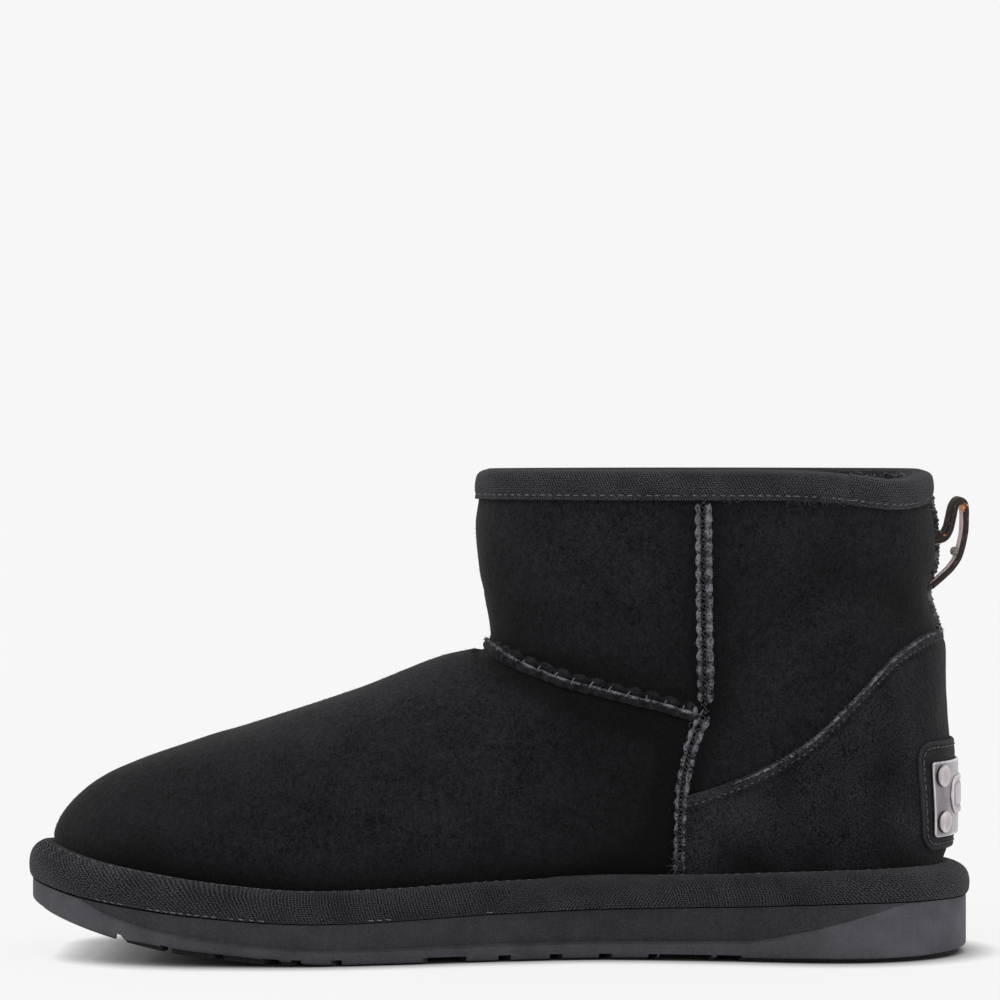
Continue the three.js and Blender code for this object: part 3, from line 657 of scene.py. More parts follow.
# %% The Shade class
class Shade:
    """An output in a material's nodes, for use in Python sums."""

    def __init__(self, tree, socket=None):
        self.tree = tree
        self.socket = socket

    def node(self, kind, settings=None, inputs=None, output=0):
        """Adds a node, sets it, joins its inputs to values or links, and gives one output."""
        made = self.tree.nodes.new("ShaderNode" + kind)
        for name, value in (settings or {}).items():
            if name == "stops":
                self.set_stops(made.color_ramp, value)
            else:
                setattr(made, name, value)
        for name, value in (inputs or {}).items():
            if isinstance(value, Shade):
                self.tree.links.new(value.socket, made.inputs[name])
            else:
                made.inputs[name].default_value = value
        return Shade(self.tree, made.outputs[output])

    @staticmethod
    def set_stops(ramp, stops):
        """Stops are pairs of a place from 0 to 1 and the number there."""
        while len(ramp.elements) < len(stops):
            ramp.elements.new(1)
        for element, (place, value) in zip(ramp.elements, stops):
            element.position = place
            element.color = grey(value)

    def maths(self, operation, *values):
        return self.node("Math", {"operation": operation}, dict(enumerate(values)))

    def __add__(self, other):
        return self.maths("ADD", self, other)

    def __radd__(self, other):
        return self.maths("ADD", other, self)

    def __sub__(self, other):
        return self.maths("SUBTRACT", self, other)

    def __rsub__(self, other):
        return self.maths("SUBTRACT", other, self)

    def __mul__(self, other):
        return self.maths("MULTIPLY", self, other)

    def __rmul__(self, other):
        return self.maths("MULTIPLY", other, self)

    def ramp(self, *stops):
        return self.node("ValToRGB", {"stops": stops}, {"Fac": self})

    def wave(self):
        """0 to 1 and back, once for each whole number."""
        return self.maths("SINE", self * (2 * pi)) * 0.5 + 0.5

    def noise(self, place, scale, detail=2.0, stretch=(1, 1, 1)):
        stretched = self.node("Mapping", None, {"Vector": place, "Scale": stretch})
        return self.node("TexNoise", None, {"Vector": stretched, "Scale": scale, "Detail": detail})

    def colour(self, dark, light):
        """This value as a colour between two."""
        return self.node("Mix", {"data_type": "RGBA"}, {0: self, 6: dark, 7: light}, 2)

    def place(self):
        """Where a point lies on its own piece, in metres."""
        return self.node("TexCoord", output="Object")

    def value_of(self, name):
        return self.node("Attribute", {"attribute_name": name}, None, "Fac")


def dye(red, green, blue):
    """A colour as it shows, in parts of 255, as the linear colour that shaders work with."""
    shown = np.array([red, green, blue]) / 255
    linear = np.where(shown < 0.04045, shown / 12.92, ((shown + 0.055) / 1.055) ** 2.4)
    return (*linear.tolist(), 1)


def new_material(name):
    """An empty material, its starting Shade, and its surface shader."""
    made = bpy.data.materials.new(name)
    made.use_nodes = True
    return made, Shade(made.node_tree), made.node_tree.nodes["Principled BSDF"]


def finish_material(made, shader, colour, bump=None, bump_depth=0.2, **surface):
    """Joins colour and bump to the shader. Sizes that are the same all over go on its own sockets."""
    tree = made.node_tree
    tree.links.new(colour.socket, shader.inputs["Base Color"])
    if bump is not None:
        height = bump.node("Bump", None, {"Height": bump, "Distance": bump_depth * MM, "Strength": 1.0})
        tree.links.new(height.socket, shader.inputs["Normal"])
    for name, value in surface.items():
        shader.inputs[name.replace("_", " ")].default_value = value
    return made


FELTED = {"Roughness": 0.95, "Specular_IOR_Level": 0.08}

# %% [markdown]
# ## Finishes
#
# ** Suede** is the split side of the skin, buffed until its fibres stand up. Its black is never even:
# fibres that lie the other way catch light. Grain finer than a millimetre, coarser tufts and
# broad spots add up to one nap value, and the stored `tone` of each piece paints shade into its
# hollows and light onto its swells and edges. Sheen lights the fibres at a glancing angle.
#
# **Twill tape** is woven, so its ribs follow the tape and not the boot, and read the UV map.
# **Foam** is nearly plain, with the fine pebble of its mould. **Wool** is all bump and no gloss.

# %% Suede
def suede(name, dark, light, grain_depth=0.16, fine=0.55, soft=0.15, per_metre=1500):
    """A share of the nap's change is fine grain, and the softer the nap, the evener it is."""
    made, start, shader = new_material(name)
    place = start.place()
    grain = start.noise(place, per_metre, 3)
    tufts = start.noise(place, 620, 2, stretch=(1, 1, 0.7))
    spots = start.noise(place, 75, 3)
    nap = (grain * fine + tufts * (0.8 - fine) + spots * 0.2).ramp((0.5 - soft, 0), (0.5 + soft, 1))
    shade = nap * start.value_of("tone")
    return finish_material(
        made, shader, shade.colour(dark, light), grain * 0.7 + tufts * 0.6, grain_depth,
        **FELTED, Sheen_Weight=0.06, Sheen_Roughness=0.5,
    )


upper_suede = suede("black suede", dye(5, 5, 6), dye(42, 41, 45), 0.3)
counter_suede = suede("counter suede", dye(3, 3, 4), dye(48, 47, 52), 0.5, 0.74, 0.12, per_metre=2000)
raw_edge = suede("raw suede edge", dye(14, 14, 16), dye(122, 120, 128), 0.6, 0.6, 0.09)

# %% Twill tape
def twill(name, dark, light, pitch, depth):
    """Ribs of a pitch in millimetres. The UV map and the stored lean make them turn from upright."""
    made, start, shader = new_material(name)
    flat = start.node("UVMap")
    along = start.node("SeparateXYZ", None, {0: flat}, 0)
    across = start.node("SeparateXYZ", None, {0: flat}, 1)
    drift = start.noise(flat, 0.3, 2) * 0.8
    rib = ((along + across * start.value_of("lean")) * (1 / pitch) + drift).wave()
    yarn = (across * (1.2 / pitch) + drift * 0.8).wave()
    fuzz = start.noise(flat, 2.8, 3).ramp((0.36, 0), (0.66, 1))
    worn = start.noise(flat, 0.09, 3).ramp((0.35, 0.7), (0.65, 1.15))
    weave = rib * (0.25 + yarn * 0.75)
    shade = ((weave * 0.6 + fuzz * 0.4) * (0.4 + fuzz * 0.6)).ramp((0.1, 0), (0.5, 1))
    shade = shade * worn * start.value_of("tone")
    return finish_material(
        made, shader, shade.colour(dark, light), weave + fuzz * 0.5, depth,
        **FELTED, Sheen_Weight=0.1, Sheen_Roughness=0.35,
    )


rand_twill = twill("rand twill", dye(5, 5, 6), dye(70, 69, 75), 0.9, 0.2)
collar_twill = twill("collar twill", dye(10, 10, 12), dye(80, 79, 85), 0.85, 0.2)

# %% Foam, wool and thread
def foam():
    """The sole's moulded foam. The stored facet paints in the light that each moulded face gets."""
    made, start, shader = new_material("sole foam")
    place = start.place()
    pebble = start.node("TexVoronoi", None, {"Vector": place, "Scale": 2200})
    cloud = start.noise(place, 130, 4)
    scuffs = start.noise(place, 1600, 3).ramp((0.32, 0), (0.68, 1))
    grain = start.noise(place, 3000, 2) - 0.5
    shade = start.value_of("facet") * (0.55 + cloud * 0.9) + scuffs * 0.11 + grain * 0.35 - 0.05
    return finish_material(
        made, shader, shade.colour(dye(15, 15, 17), dye(94, 92, 99)), pebble + cloud * 0.5, 0.08,
        Roughness=0.62, Specular_IOR_Level=0.12,
    )


def wool():
    made, start, shader = new_material("dyed wool")
    place = start.place()
    curls = start.noise(place, 420, 4)
    clumps = start.noise(place, 120, 2)
    shade = (curls * 0.6 + clumps * 0.4).ramp((0.3, 0), (0.7, 1))
    return finish_material(
        made, shader, shade.colour(dye(24, 24, 26), dye(84, 84, 88)), curls, 0.8,
        **FELTED, Sheen_Weight=0.2,
    )


def thread(name, dark, light):
    made, start, shader = new_material(name)
    place = start.place()
    twist = start.noise(place, 1800, 2)
    return finish_material(
        made, shader, twist.ramp((0.3, 0), (0.7, 1)).colour(dark, light), twist, 0.06,
        Roughness=0.6, Specular_IOR_Level=0.2,
    )


sole_foam, dyed_wool = foam(), wool()
grey_thread = thread("grey thread", dye(60, 60, 64), dye(120, 118, 122))
black_thread = thread("black thread", dye(18, 18, 20), dye(52, 52, 55))

# %% Patch leather, metal and ribbon
def patch_leather():
    made, start, shader = new_material("patch leather")
    place = start.place()
    pores = start.node("TexVoronoi", {"feature": "DISTANCE_TO_EDGE"}, {"Vector": place, "Scale": 900})
    grain = pores.ramp((0.0, 0), (0.25, 1))
    rub = start.noise(place, 160, 3)
    shade = grain * 0.25 + rub * 0.6 + start.value_of("tone") * 0.5 - 0.2
    return finish_material(
        made, shader, shade.colour(dye(9, 9, 10), dye(50, 49, 53)), grain, 0.08,
        Roughness=0.7, Specular_IOR_Level=0.14,
    )


def brushed_metal(name, dark, light, roughness):
    """Metal rubbed up and down: noise stretched in height. The stored tone paints light and shade on it."""
    made, start, shader = new_material(name)
    place = start.place()
    streaks = start.noise(place, 1500, 3, stretch=(1, 1, 0.07))
    scuffs = start.noise(place, 240, 4)
    shade = (streaks * 0.6 + scuffs * 0.4).ramp((0.25, 0.3), (0.75, 1)) * start.value_of("tone")
    polish = scuffs * 0.25 + (roughness - 0.12)
    start.tree.links.new(polish.socket, shader.inputs["Roughness"])
    return finish_material(
        made, shader, shade.colour(dark, light), streaks, 0.02, Metallic=1.0,
    )


def ribbon():
    """A woven ribbon, black outside with rusty flecks, and paler on its inner face."""
    made, start, shader = new_material("loop ribbon")
    flat = start.node("UVMap")
    along = start.node("SeparateXYZ", None, {0: flat}, 0)
    rib = (along * (1 / 0.7)).wave()
    flecks = start.noise(flat, 0.34, 3).ramp((0.56, 0), (0.66, 1))
    rusty = flecks * start.value_of("rust")
    cloth = (rib * 0.4 + start.noise(flat, 1.1, 3) * 0.6).colour(dye(22, 18, 18), dye(66, 56, 54))
    pale = start.value_of("inner_face")
    lined = start.node("Mix", {"data_type": "RGBA"}, {0: pale, 6: cloth, 7: dye(244, 230, 228)}, 2)
    rust = start.node("Mix", {"data_type": "RGBA"}, {0: rusty, 6: lined, 7: dye(214, 146, 98)}, 2)
    return finish_material(made, shader, rust, rib, 0.12, Roughness=0.7, Specular_IOR_Level=0.2)


black_leather, loop_ribbon = patch_leather(), ribbon()
plate_metal = brushed_metal("brushed gunmetal", dye(80, 76, 81), dye(222, 216, 221), 0.42)
rivet_metal = brushed_metal("rivet metal", dye(80, 76, 80), dye(222, 213, 215), 0.32)

# %% [markdown]
# ## The upper
#
# The upper is one hollow wall of sheepskin: suede outside, wool inside. It is made as loops round
# the boot, first up the outer face and then down the inner one, so the last loop meets the first and
# the wall is closed. Rows lie closer where the instep sweeps forwards. The inner face is pushed
# about by noise, since wool is never level, and gets the wool finish; the curls come later.
#
# The suede's `tone` is mostly painted light and shade: dark under the throat, beside the
# seams and close to the sole, lighter over the swells.

# %% Wall rows
AROUND = 352
WALL, RIM_WALL = 7.5, 5
RIM_TAPER = (11, 22)
WOOL_HEAP = SimpleNamespace(size=4.5, height=1.1)
ROW_ZONES = [(0, 40, 42), (40, 60, 24), (60, 88, 44), (88, 98, 22), (98, 128, 30), (128, RIM_HEIGHT, 12)]

outer_levels = np.concatenate([[0.0], *(np.linspace(a, b, n + 1)[1:] for a, b, n in ROW_ZONES)])
inner_levels = np.linspace(RIM_HEIGHT, 0, 78)
around = loop_angles(AROUND)


def wall_at(level):
    return mix(RIM_WALL, WALL, smooth_step(*RIM_TAPER, RIM_HEIGHT - level))


def wool_point(angle, level, into=0.0):
    """The wool's face inside the boot, or a point further into the hollow."""
    angle, level = np.broadcast_arrays(angle, level)
    ends = np.isclose(level, 0) | np.isclose(level, RIM_HEIGHT)
    normal = upper_normal(angle, level)
    normal = np.where(ends[..., None], unit(normal * (1, 1, 0)), normal)
    return upper_point(angle, level) - normal * (wall_at(level) + into)[..., None]


outside = suede_point(around[None], outer_levels[:, None])
inside = wool_point(around[None], inner_levels[:, None])
heap = WOOL_HEAP.height * lumps_at(inside, WOOL_HEAP.size, seed=7)
heap *= smooth_step(2, 10, RIM_HEIGHT - inner_levels)[:, None] * smooth_step(0, 8, inner_levels)[:, None]
inside = wool_point(around[None], inner_levels[:, None], heap)
print("upper rows:", len(outside), "outside,", len(inside), "inside")

# %% Tone of the suede
def suede_tone(points):
    """How light the nap is, about 1 on open leather."""
    x, z = points[..., 0], points[..., 2]
    vamp = is_vamp(x, z)
    # painted light on the swells, and painted shade in the dips along the seams
    tone = 0.8 + 0.16 * relief(points) - 0.55 * bell(seam_distance(x, z), 8)
    # painted shadow in the hollow under the throat seam
    below_throat = throat_seam.height(x) - z
    hollow = smooth_step(0, 3, below_throat) * bell(below_throat, 9) * smooth_step(12, 4, x)
    tone -= 0.35 * hollow * (x > side_seam.at(z))
    # the front piece darkens towards the side seam
    tone -= 0.28 * vamp * smooth_step(10, -45, x)
    # painted shade close over the roll, but not at toe and heel
    tone -= 0.3 * smooth_step(20, 6, z - sole_top_at(x) - 5) * smooth_step(136, 100, np.abs(x))
    # the sides of the toe, and the lower part of the shaft
    tone -= 0.3 * vamp * smooth_step(60, 110, x) * smooth_step(70, 30, z)
    tone -= 0.12 * (1 - vamp) * smooth_step(120, 95, z)
    # the instep faces up into the light
    tone += 0.35 * smooth_step(60, 78, z) * vamp * smooth_step(0.2, 0.9, upward(points))
    return np.clip(tone, 0.12, 1.6)


def upward(points):
    """How far each point of a grid of loops faces up, from -1 to 1."""
    along = np.roll(points, -1, axis=1) - np.roll(points, 1, axis=1)
    above = np.gradient(points, axis=0)
    return unit(np.cross(along, above))[..., 2]


# %% The upper's mesh
rows = np.concatenate([outside, inside])
upper = loops_piece("upper", rows, closed=True)
set_values(upper, "tone", np.concatenate([suede_tone(outside), np.ones(inside.shape[:2])]))
upper.data.materials.append(upper_suede)
upper.data.materials.append(dyed_wool)
which = np.repeat((np.arange(len(rows)) >= len(outside) - 1).astype(np.int32), AROUND)
upper.data.polygons.foreach_set("material_index", which)
hand_over(upper, None, "suede", "upper")

# %% [markdown]
# ## The outsole
#
# The foam sole is a slab of loops from its tread to its top, with the lugs cut free by zigzag bars.
# A Boolean modifier cuts all the bars at once, which keeps the groove walls crisp, and the result is
# turned into a plain mesh. Afterwards each face gets its `facet` value, which paints in the light
# that the face gets: the ledge is lighter than the cut back wall above it, toe and heel, where the
# ledge fills the whole side, are lightest, and the tread band below the edge is painted dark as shadow.

# %% Slab of the sole
SOLE_AROUND = 300
SOLE_SHARP = 28
TREAD_INSET, STEP, THIN = 2.2, 0.7, 0.05
EDGE_ROUND = SimpleNamespace(inset=0.4, height=0.5)
GROOVES = [
    # place along the boot, width, length across it
    (113, 3, 120),
    (98, 3, 120),
    (82, 3, 120),
    (66, 5, 120),
    (58.5, 3, 120),
    (47, 3.2, 120),
    (32, 3.2, 84),
    (17, 12, 120),
    (0, 4, 72),
    (-16, 4, 72),
    (-31, 4, 120),
    (-44.8, 2.6, 120),
    (-54.2, 15, 120),
    (-66.8, 7, 120),
    (-84, 4, 60),
    (-101, 4, 60),
    (-118, 4, 60),
]
GROOVE_DEPTH, BELOW = 2, 3
ZIGZAG = SimpleNamespace(height=3, pitch=24)


def sole_rows():
    """Loops up the sole's side: the inset from its edge, whether it is cut back, and the height."""
    ledge_top = lambda x: np.minimum(sole_side.ledge(x) + STEP, sole_side.thick(x) - THIN)
    return [
        (OVERHANG + TREAD_INSET + 0.5, False, lambda x: 0 * x),
        (OVERHANG + TREAD_INSET, False, lambda x: 0 * x + 0.35),
        (OVERHANG + TREAD_INSET, False, lambda x: sole_side.edge(x) * 0.9),
        (OVERHANG + EDGE_ROUND.inset, False, sole_side.edge),
        (OVERHANG + 0.1, False, lambda x: sole_side.edge(x) + 0.7 * EDGE_ROUND.height),
        (OVERHANG, False, lambda x: sole_side.edge(x) + 1.4 * EDGE_ROUND.height),
        (OVERHANG, False, lambda x: sole_side.ledge(x) - 0.4),
        (OVERHANG + 0.15, False, sole_side.ledge),
        (OVERHANG, True, ledge_top),
        (OVERHANG, False, sole_side.thick),
    ]


def sole_slab():
    angles = loop_angles(SOLE_AROUND)
    rows = []
    for inset, cut, height in sole_rows():
        depth = sole_side.cutback(sole_edge(angles, inset)[0]) if cut else 0
        x, y = sole_edge(angles, inset + depth)
        rows.append(np.stack([x, y, bottom_at(x) + height(x)], axis=-1))
    rows = np.array(rows)
    return loops_piece("outsole_foam", rows, ladder_ends(rows))


def groove_bars():
    """Every zigzag bar in one mesh, each laid along the bottom's slope."""
    points, quads, caps = [], [], []
    for place, width, length in GROOVES:
        pitch = ZIGZAG.pitch / 2
        count = round(length / pitch)
        n = np.arange(count + 1)
        shift = np.where(n % 2, 0.5, -0.5) * ZIGZAG.height
        y = sole_plan.middle(place) + (n - count / 2) * pitch
        slope = (bottom_at(place + 1) - bottom_at(place - 1)) / 2
        half = width / 2
        section = [(-half, -BELOW), (half, -BELOW), (half, GROOVE_DEPTH), (-half, GROOVE_DEPTH)]
        start = 4 * sum(len(group) for group in points)
        rows = [[(place + s + a, v, bottom_at(place) + slope * (s + a) + b) for a, b in section]
                for s, v in zip(shift, y)]
        points.append(rows)
        quads.append(grid_faces(count + 1, 4, False, True) + start)
        caps += [[start + i for i in (3, 2, 1, 0)], [start + 4 * count + i for i in range(4)]]
    flat = np.concatenate([np.array(rows).reshape(-1, 3) for rows in points])
    return make_piece("groove bars", flat, np.concatenate(quads), caps)


# %% Cut the grooves
def plain_mesh(piece):
    """Applies a piece's live modifiers: its evaluated shape becomes its own mesh."""
    bpy.context.view_layer.update()
    shaped = piece.evaluated_get(bpy.context.evaluated_depsgraph_get())
    mesh = bpy.data.meshes.new_from_object(shaped)
    piece.modifiers.clear()
    piece.data = mesh
    return piece


def discard(piece):
    bpy.data.objects.remove(piece, do_unlink=True)


outsole, bars = sole_slab(), groove_bars()
cut = outsole.modifiers.new("grooves", "BOOLEAN")
cut.operation, cut.solver, cut.object = "DIFFERENCE", "EXACT", bars
plain_mesh(outsole)
discard(bars)
outsole.data.shade_smooth()
outsole.data.set_sharp_from_angle(angle=np.radians(SOLE_SHARP))

# %% Facets of the sole
def face_middles(piece):
    middles = np.zeros(len(piece.data.polygons) * 3)
    piece.data.polygons.foreach_get("center", middles)
    return middles.reshape(-1, 3) / MM


face_x, _, face_z = face_middles(outsole).T
above_bottom = face_z - bottom_at(face_x)
# painted light: ledge, toe and heel lighter by how they face, the cut back wall darker
ends = np.maximum(smooth_step(-70, -125, face_x), 0.7 * smooth_step(85, 125, face_x))
wall_facet = mix(0.16, 0.24, smooth_step(-50, 20, face_x)) + 0.2 * smooth_step(-85, -125, face_x)
facet = np.where(above_bottom - sole_side.ledge(face_x) < 0.6, 0.34 + 0.3 * ends, wall_facet)
# painted shadow on the tread band below the edge
facet = np.where(above_bottom < sole_side.edge(face_x), 0.05, facet)
set_values(outsole, "facet", facet, "FACE")
hand_over(outsole, sole_foam, "sole_foam", "outsole")

# %% [markdown]
# ## The rand: a taped roll between sole and upper
#
# A cord wrapped in twill tape runs all round between sole and upper and hides their joint. Its
# section is given as shares of the way from the upper to the sole's edge, so the roll fills exactly
# the room that there is. It follows the suede's folds on its inner side. The tape's weave runs along
# the roll, so the mesh carries a UV map in millimetres.

# %% The roll
ROLL = SimpleNamespace(height=9, toe_extra=1.2, toe_from=60, heel_extra=0.5, heel_from=-100, ends=140,
                       pleat=0.035, pleats=83)
ROLL_SECTION = [
    # out, up
    (0.0, 0.0),
    (0.6, 0.0),
    (0.88, 0.0),
    (0.98, 0.14),
    (1.0, 0.36),
    (0.97, 0.6),
    (0.84, 0.82),
    (0.58, 0.96),
    (0.25, 1.02),
    (0.0, 1.0),
]
ROLL_AROUND = 480


def roll_height_at(x):
    toe = ROLL.toe_extra * smooth_step(ROLL.toe_from, ROLL.ends, x)
    return ROLL.height + toe + ROLL.heel_extra * smooth_step(-ROLL.heel_from, ROLL.ends, -x)


def smooth_path(points, count):
    """Points evenly spread along a smooth path through a few given ones."""
    points = np.array(points, float)
    gone = path_length(points)
    places = np.linspace(0, gone[-1], 20 * count)
    fine = np.stack([smooth_curve(gone, column)(places) for column in points.T], -1)
    length = path_length(fine)
    even = np.linspace(0, length[-1], count)
    return np.stack([np.interp(even, length, column) for column in fine.T], -1)


def roll_point(angle, out, up, proud=0.0):
    """A point of the roll's section, out from the upper and up from the sole's top."""
    angle, out, up = np.broadcast_arrays(angle, out, up)
    edge_x, edge_y = sole_edge(angle, -np.asarray(proud, float))
    base = sole_top_at(edge_x) + GAP
    z = base + up * roll_height_at(edge_x)
    level = np.maximum(LOWEST * (z - base) / (LOWEST - base), 0)
    near = sideways(angle, level, GAP + relief(upper_point(angle, level)))
    return np.stack([mix(near[..., 0], edge_x, out), mix(near[..., 1], edge_y, out), z], axis=-1)


roll_angles = loop_angles(ROLL_AROUND)
section = smooth_path(ROLL_SECTION, 30)
closing = [(0.0, 0.75), (0.0, 0.5), (0.0, 0.25)]
section = np.concatenate([section, closing])
round_toe = smooth_step(105, 138, sole_edge(roll_angles, 0)[0])
pleats = ROLL.pleat * np.sin(ROLL.pleats * roll_angles) * round_toe * bell(section[:, :1] - 0.5, 0.3)
roll_rows = roll_point(roll_angles[None], section[:, :1], section[:, 1:] + pleats)
roll_x = roll_rows[..., 0]
lean = 0.25 + 0.75 * smooth_step(60, 120, roll_x) + 0.6 * smooth_step(-80, -105, roll_x)
steps = np.diff(round_length(roll_rows[12])) * np.cos(lean[12])
across_roll = path_length(np.concatenate([roll_rows[:, 0], roll_rows[:1, 0]]))
roll_uv = grid_uv(np.concatenate([[0], np.cumsum(steps)]), across_roll)
rand = loops_piece("rand_roll", roll_rows, uv=roll_uv, closed=True)
set_values(rand, "lean", np.sin(lean))
# painted light: the roll is lighter round the heel and at the front of the toe, as a rim of light on its
# curves
set_values(rand, "tone", 1 + 0.55 * smooth_step(-100, -125, roll_x) + 0.25 * smooth_step(110, 140, roll_x))
hand_over(rand, rand_twill, "binding_tape", "sole_binding")

# %% [markdown]
# ## The collar binding
#
# The same kind of tape is folded over the rim and stitched through, so it grips the wool and narrows
# the edge. Its section is a hook: flat down the outside, round over the top, flat down the inside.
# A shallow furrow lies where the stitching pulls the tape in, a little above its lower edge.

# %% Collar tape
COLLAR = SimpleNamespace(outside=9.3, inside=8, furrow=1.5, furrow_depth=0.3, around=384,
                         ripple=0.12, ripples=61)
COLLAR_OUTSIDE = [
    # off the upper, below the binding's top
    (1.1, 9.3),
    (1.25, 8.6),
    (1.65, 5),
    (1.4, 2.6),
    (0.6, 1.2),
    (-0.6, 0.55),
    (-2.5, 0),
]


def collar_section():
    outer = smooth_path(COLLAR_OUTSIDE, 26)
    outer[:, 0] -= COLLAR.furrow_depth * bell(COLLAR.outside - COLLAR.furrow - outer[:, 1], 0.5)
    inner = outer[::-1][1:].copy()
    inner[:, 0] = -RIM_WALL - inner[:, 0]
    inner[:, 1] = np.minimum(inner[:, 1], COLLAR.inside)
    under = [(-RIM_WALL - GAP, COLLAR.inside), (-RIM_WALL - GAP, RIM_DROP - GAP), (GAP, RIM_DROP - GAP)]
    return np.concatenate([[(GAP, COLLAR.outside)], outer, inner, under])


def collar_point(angle, out, down):
    """A point of the tape, out from the upper's face and down from the rim's top."""
    point = sideways(angle, RIM_HEIGHT - down, out, 0)
    point[..., 2] = rim_at(angle) - down
    return point


collar_angles = loop_angles(COLLAR.around)
section = collar_section()
out, down = section[:, :1], section[:, 1:]
ripple = COLLAR.ripple * np.sin(collar_angles * COLLAR.ripples) * smooth_step(6, 9, down) * (out > 0)
collar_rows = collar_point(collar_angles[None], out + ripple, np.broadcast_to(down, ripple.shape))
collar_into = np.broadcast_to(out, ripple.shape).ravel()
collar_down = np.broadcast_to(down, ripple.shape).ravel()
across_tape = path_length(np.concatenate([collar_rows[:, 0], collar_rows[:1, 0]]))
collar_uv = grid_uv(round_length(collar_rows[10]), across_tape)
collar = loops_piece("collar_tape", collar_rows, uv=collar_uv, closed=True)
set_values(collar, "lean", 0.6 + 0 * collar_rows[..., 0])
# painted shade on the tape's inner face down in the opening, and painted light on it towards the heel
inner_side = smooth_step(-1.8, -2.8, out)
toward_heel = smooth_step(-70, -120, collar_rows[..., 0])
set_values(collar, "tone", (0.95 + 0.3 * toward_heel) * (1 - 0.6 * inner_side))
hand_over(collar, collar_twill, "binding_tape", "collar_binding")

# %% [markdown]
# ## Geometry Nodes as a list of steps
#
# Stitches, fibres and rivets repeat, and a node tree can lay out thousands of them from a few
# sizes. Like the shader class, `Recipe` writes such a tree as Python steps: it has named inputs,
# and it always ends in Realize Instances and Set Material, so that what comes out is real mesh.
# `grow` puts a recipe on a base object, reads the evaluated shape as a new plain piece, and takes
# the modifier off again.

# %% The Recipe class
class Recipe:
    """A Geometry Nodes tree with named sizes, written as steps."""

    def __init__(self, name, lengths=(), numbers=(), parts=()):
        self.tree = bpy.data.node_groups.new(name, "GeometryNodeTree")
        self.tree.interface.new_socket("Geometry", in_out="OUTPUT", socket_type="NodeSocketGeometry")
        self.add_input("Base", "NodeSocketGeometry")
        self.add_input("Finish", "NodeSocketMaterial")
        self.add_input("Seed", "NodeSocketInt")
        for label in lengths:
            self.add_input(label, "NodeSocketFloat").subtype = "DISTANCE"
        for label in numbers:
            self.add_input(label, "NodeSocketFloat")
        for label in parts:
            self.add_input(label, "NodeSocketObject")
        self.start = self.tree.nodes.new("NodeGroupInput")
        self.end = self.tree.nodes.new("NodeGroupOutput")

    def add_input(self, label, kind):
        return self.tree.interface.new_socket(label, in_out="INPUT", socket_type=kind)

    def size(self, name):
        return self.start.outputs[name]

    def step(self, kind, settings=None, inputs=None, output=0):
        made = self.tree.nodes.new(kind)
        for name, value in (settings or {}).items():
            setattr(made, name, value)
        for name, value in (inputs or {}).items():
            if isinstance(value, bpy.types.NodeSocket):
                self.tree.links.new(value, made.inputs[name])
            else:
                made.inputs[name].default_value = value
        return made.outputs[output]

    def maths(self, operation, *values):
        return self.step("ShaderNodeMath", {"operation": operation}, dict(enumerate(values)))

    def vector(self, x=0.0, y=0.0, z=0.0):
        return self.step("ShaderNodeCombineXYZ", None, {"X": x, "Y": y, "Z": z})

    def stored(self, name, kind="FLOAT_VECTOR"):
        return self.step("GeometryNodeInputNamedAttribute", {"data_type": kind}, {"Name": name})

    def random(self, low, high, shift=0):
        seed = self.maths("ADD", self.size("Seed"), shift)
        return self.step("FunctionNodeRandomValue", None, {2: low, 3: high, "Seed": seed}, 1)

    def turned(self, rotation, angle):
        """A rotation followed by a turn about its own z."""
        turn = self.step("FunctionNodeEulerToRotation", None, {"Euler": self.vector(z=angle)})
        both = {"Rotation": rotation, "Rotate By": turn}
        return self.step("FunctionNodeRotateRotation", {"rotation_space": "LOCAL"}, both)

    def rod(self, line, sides, thickness, **more):
        """A round rod of mesh along a curve."""
        size = {"Resolution": sides, "Radius": self.maths("MULTIPLY", thickness, 0.5)}
        section = self.step("GeometryNodeCurvePrimitiveCircle", None, size)
        inputs = {"Curve": line, "Profile Curve": section, "Fill Caps": True, **more}
        return self.step("GeometryNodeCurveToMesh", None, inputs)

    def placed(self, points, part, rotation, **more):
        """The part on every point."""
        inputs = {"Points": points, "Instance": part, "Rotation": rotation, **more}
        return self.step("GeometryNodeInstanceOnPoints", None, inputs)

    def finish(self, instances):
        """Real mesh with its material and smooth shading, out of the tree."""
        real = self.step("GeometryNodeRealizeInstances", None, {"Geometry": instances})
        finish = {"Geometry": real, "Material": self.size("Finish")}
        painted = self.step("GeometryNodeSetMaterial", None, finish)
        smooth = self.step("GeometryNodeSetShadeSmooth", None, {"Geometry": painted})
        self.tree.links.new(smooth, self.end.inputs["Geometry"])
        return self


def grow(name, base, recipe, look, seed=1, **sizes):
    """A new piece that a recipe makes on a base object. Lengths are in millimetres."""
    modifier = base.modifiers.new(recipe.tree.name, "NODES")
    modifier.node_group = recipe.tree
    given = {"Finish": look, "Seed": seed, **sizes}
    for socket in recipe.tree.interface.items_tree:
        if socket.in_out == "INPUT" and socket.name in given:
            value = given[socket.name]
            is_length = getattr(socket, "subtype", "") == "DISTANCE"
            modifier[socket.identifier] = value * MM if is_length else value
    bpy.context.view_layer.update()
    shaped = base.evaluated_get(bpy.context.evaluated_depsgraph_get())
    mesh = bpy.data.meshes.new_from_object(shaped)
    base.modifiers.remove(modifier)
    mesh.name = name
    return add_object(name, mesh)


# %% [markdown]
# ## Three recipes
#
# **Stitches** lie along a line at an even pitch. Each is a short bow of thread that starts and ends
# under the surface. A slant turns it off the line, and a zigzag slants every other one back.
#
# **Fibres** stand on a surface where a stored value lets them grow: suede nap, seam fuzz, wool
# curls and frayed ends are the same bent, tapering hair at different sizes.
#
# **Set pieces** puts one part on every point, facing out of the surface, as rivets are.

# %% Stitches
ALIGN = "FunctionNodeAlignRotationToVector"


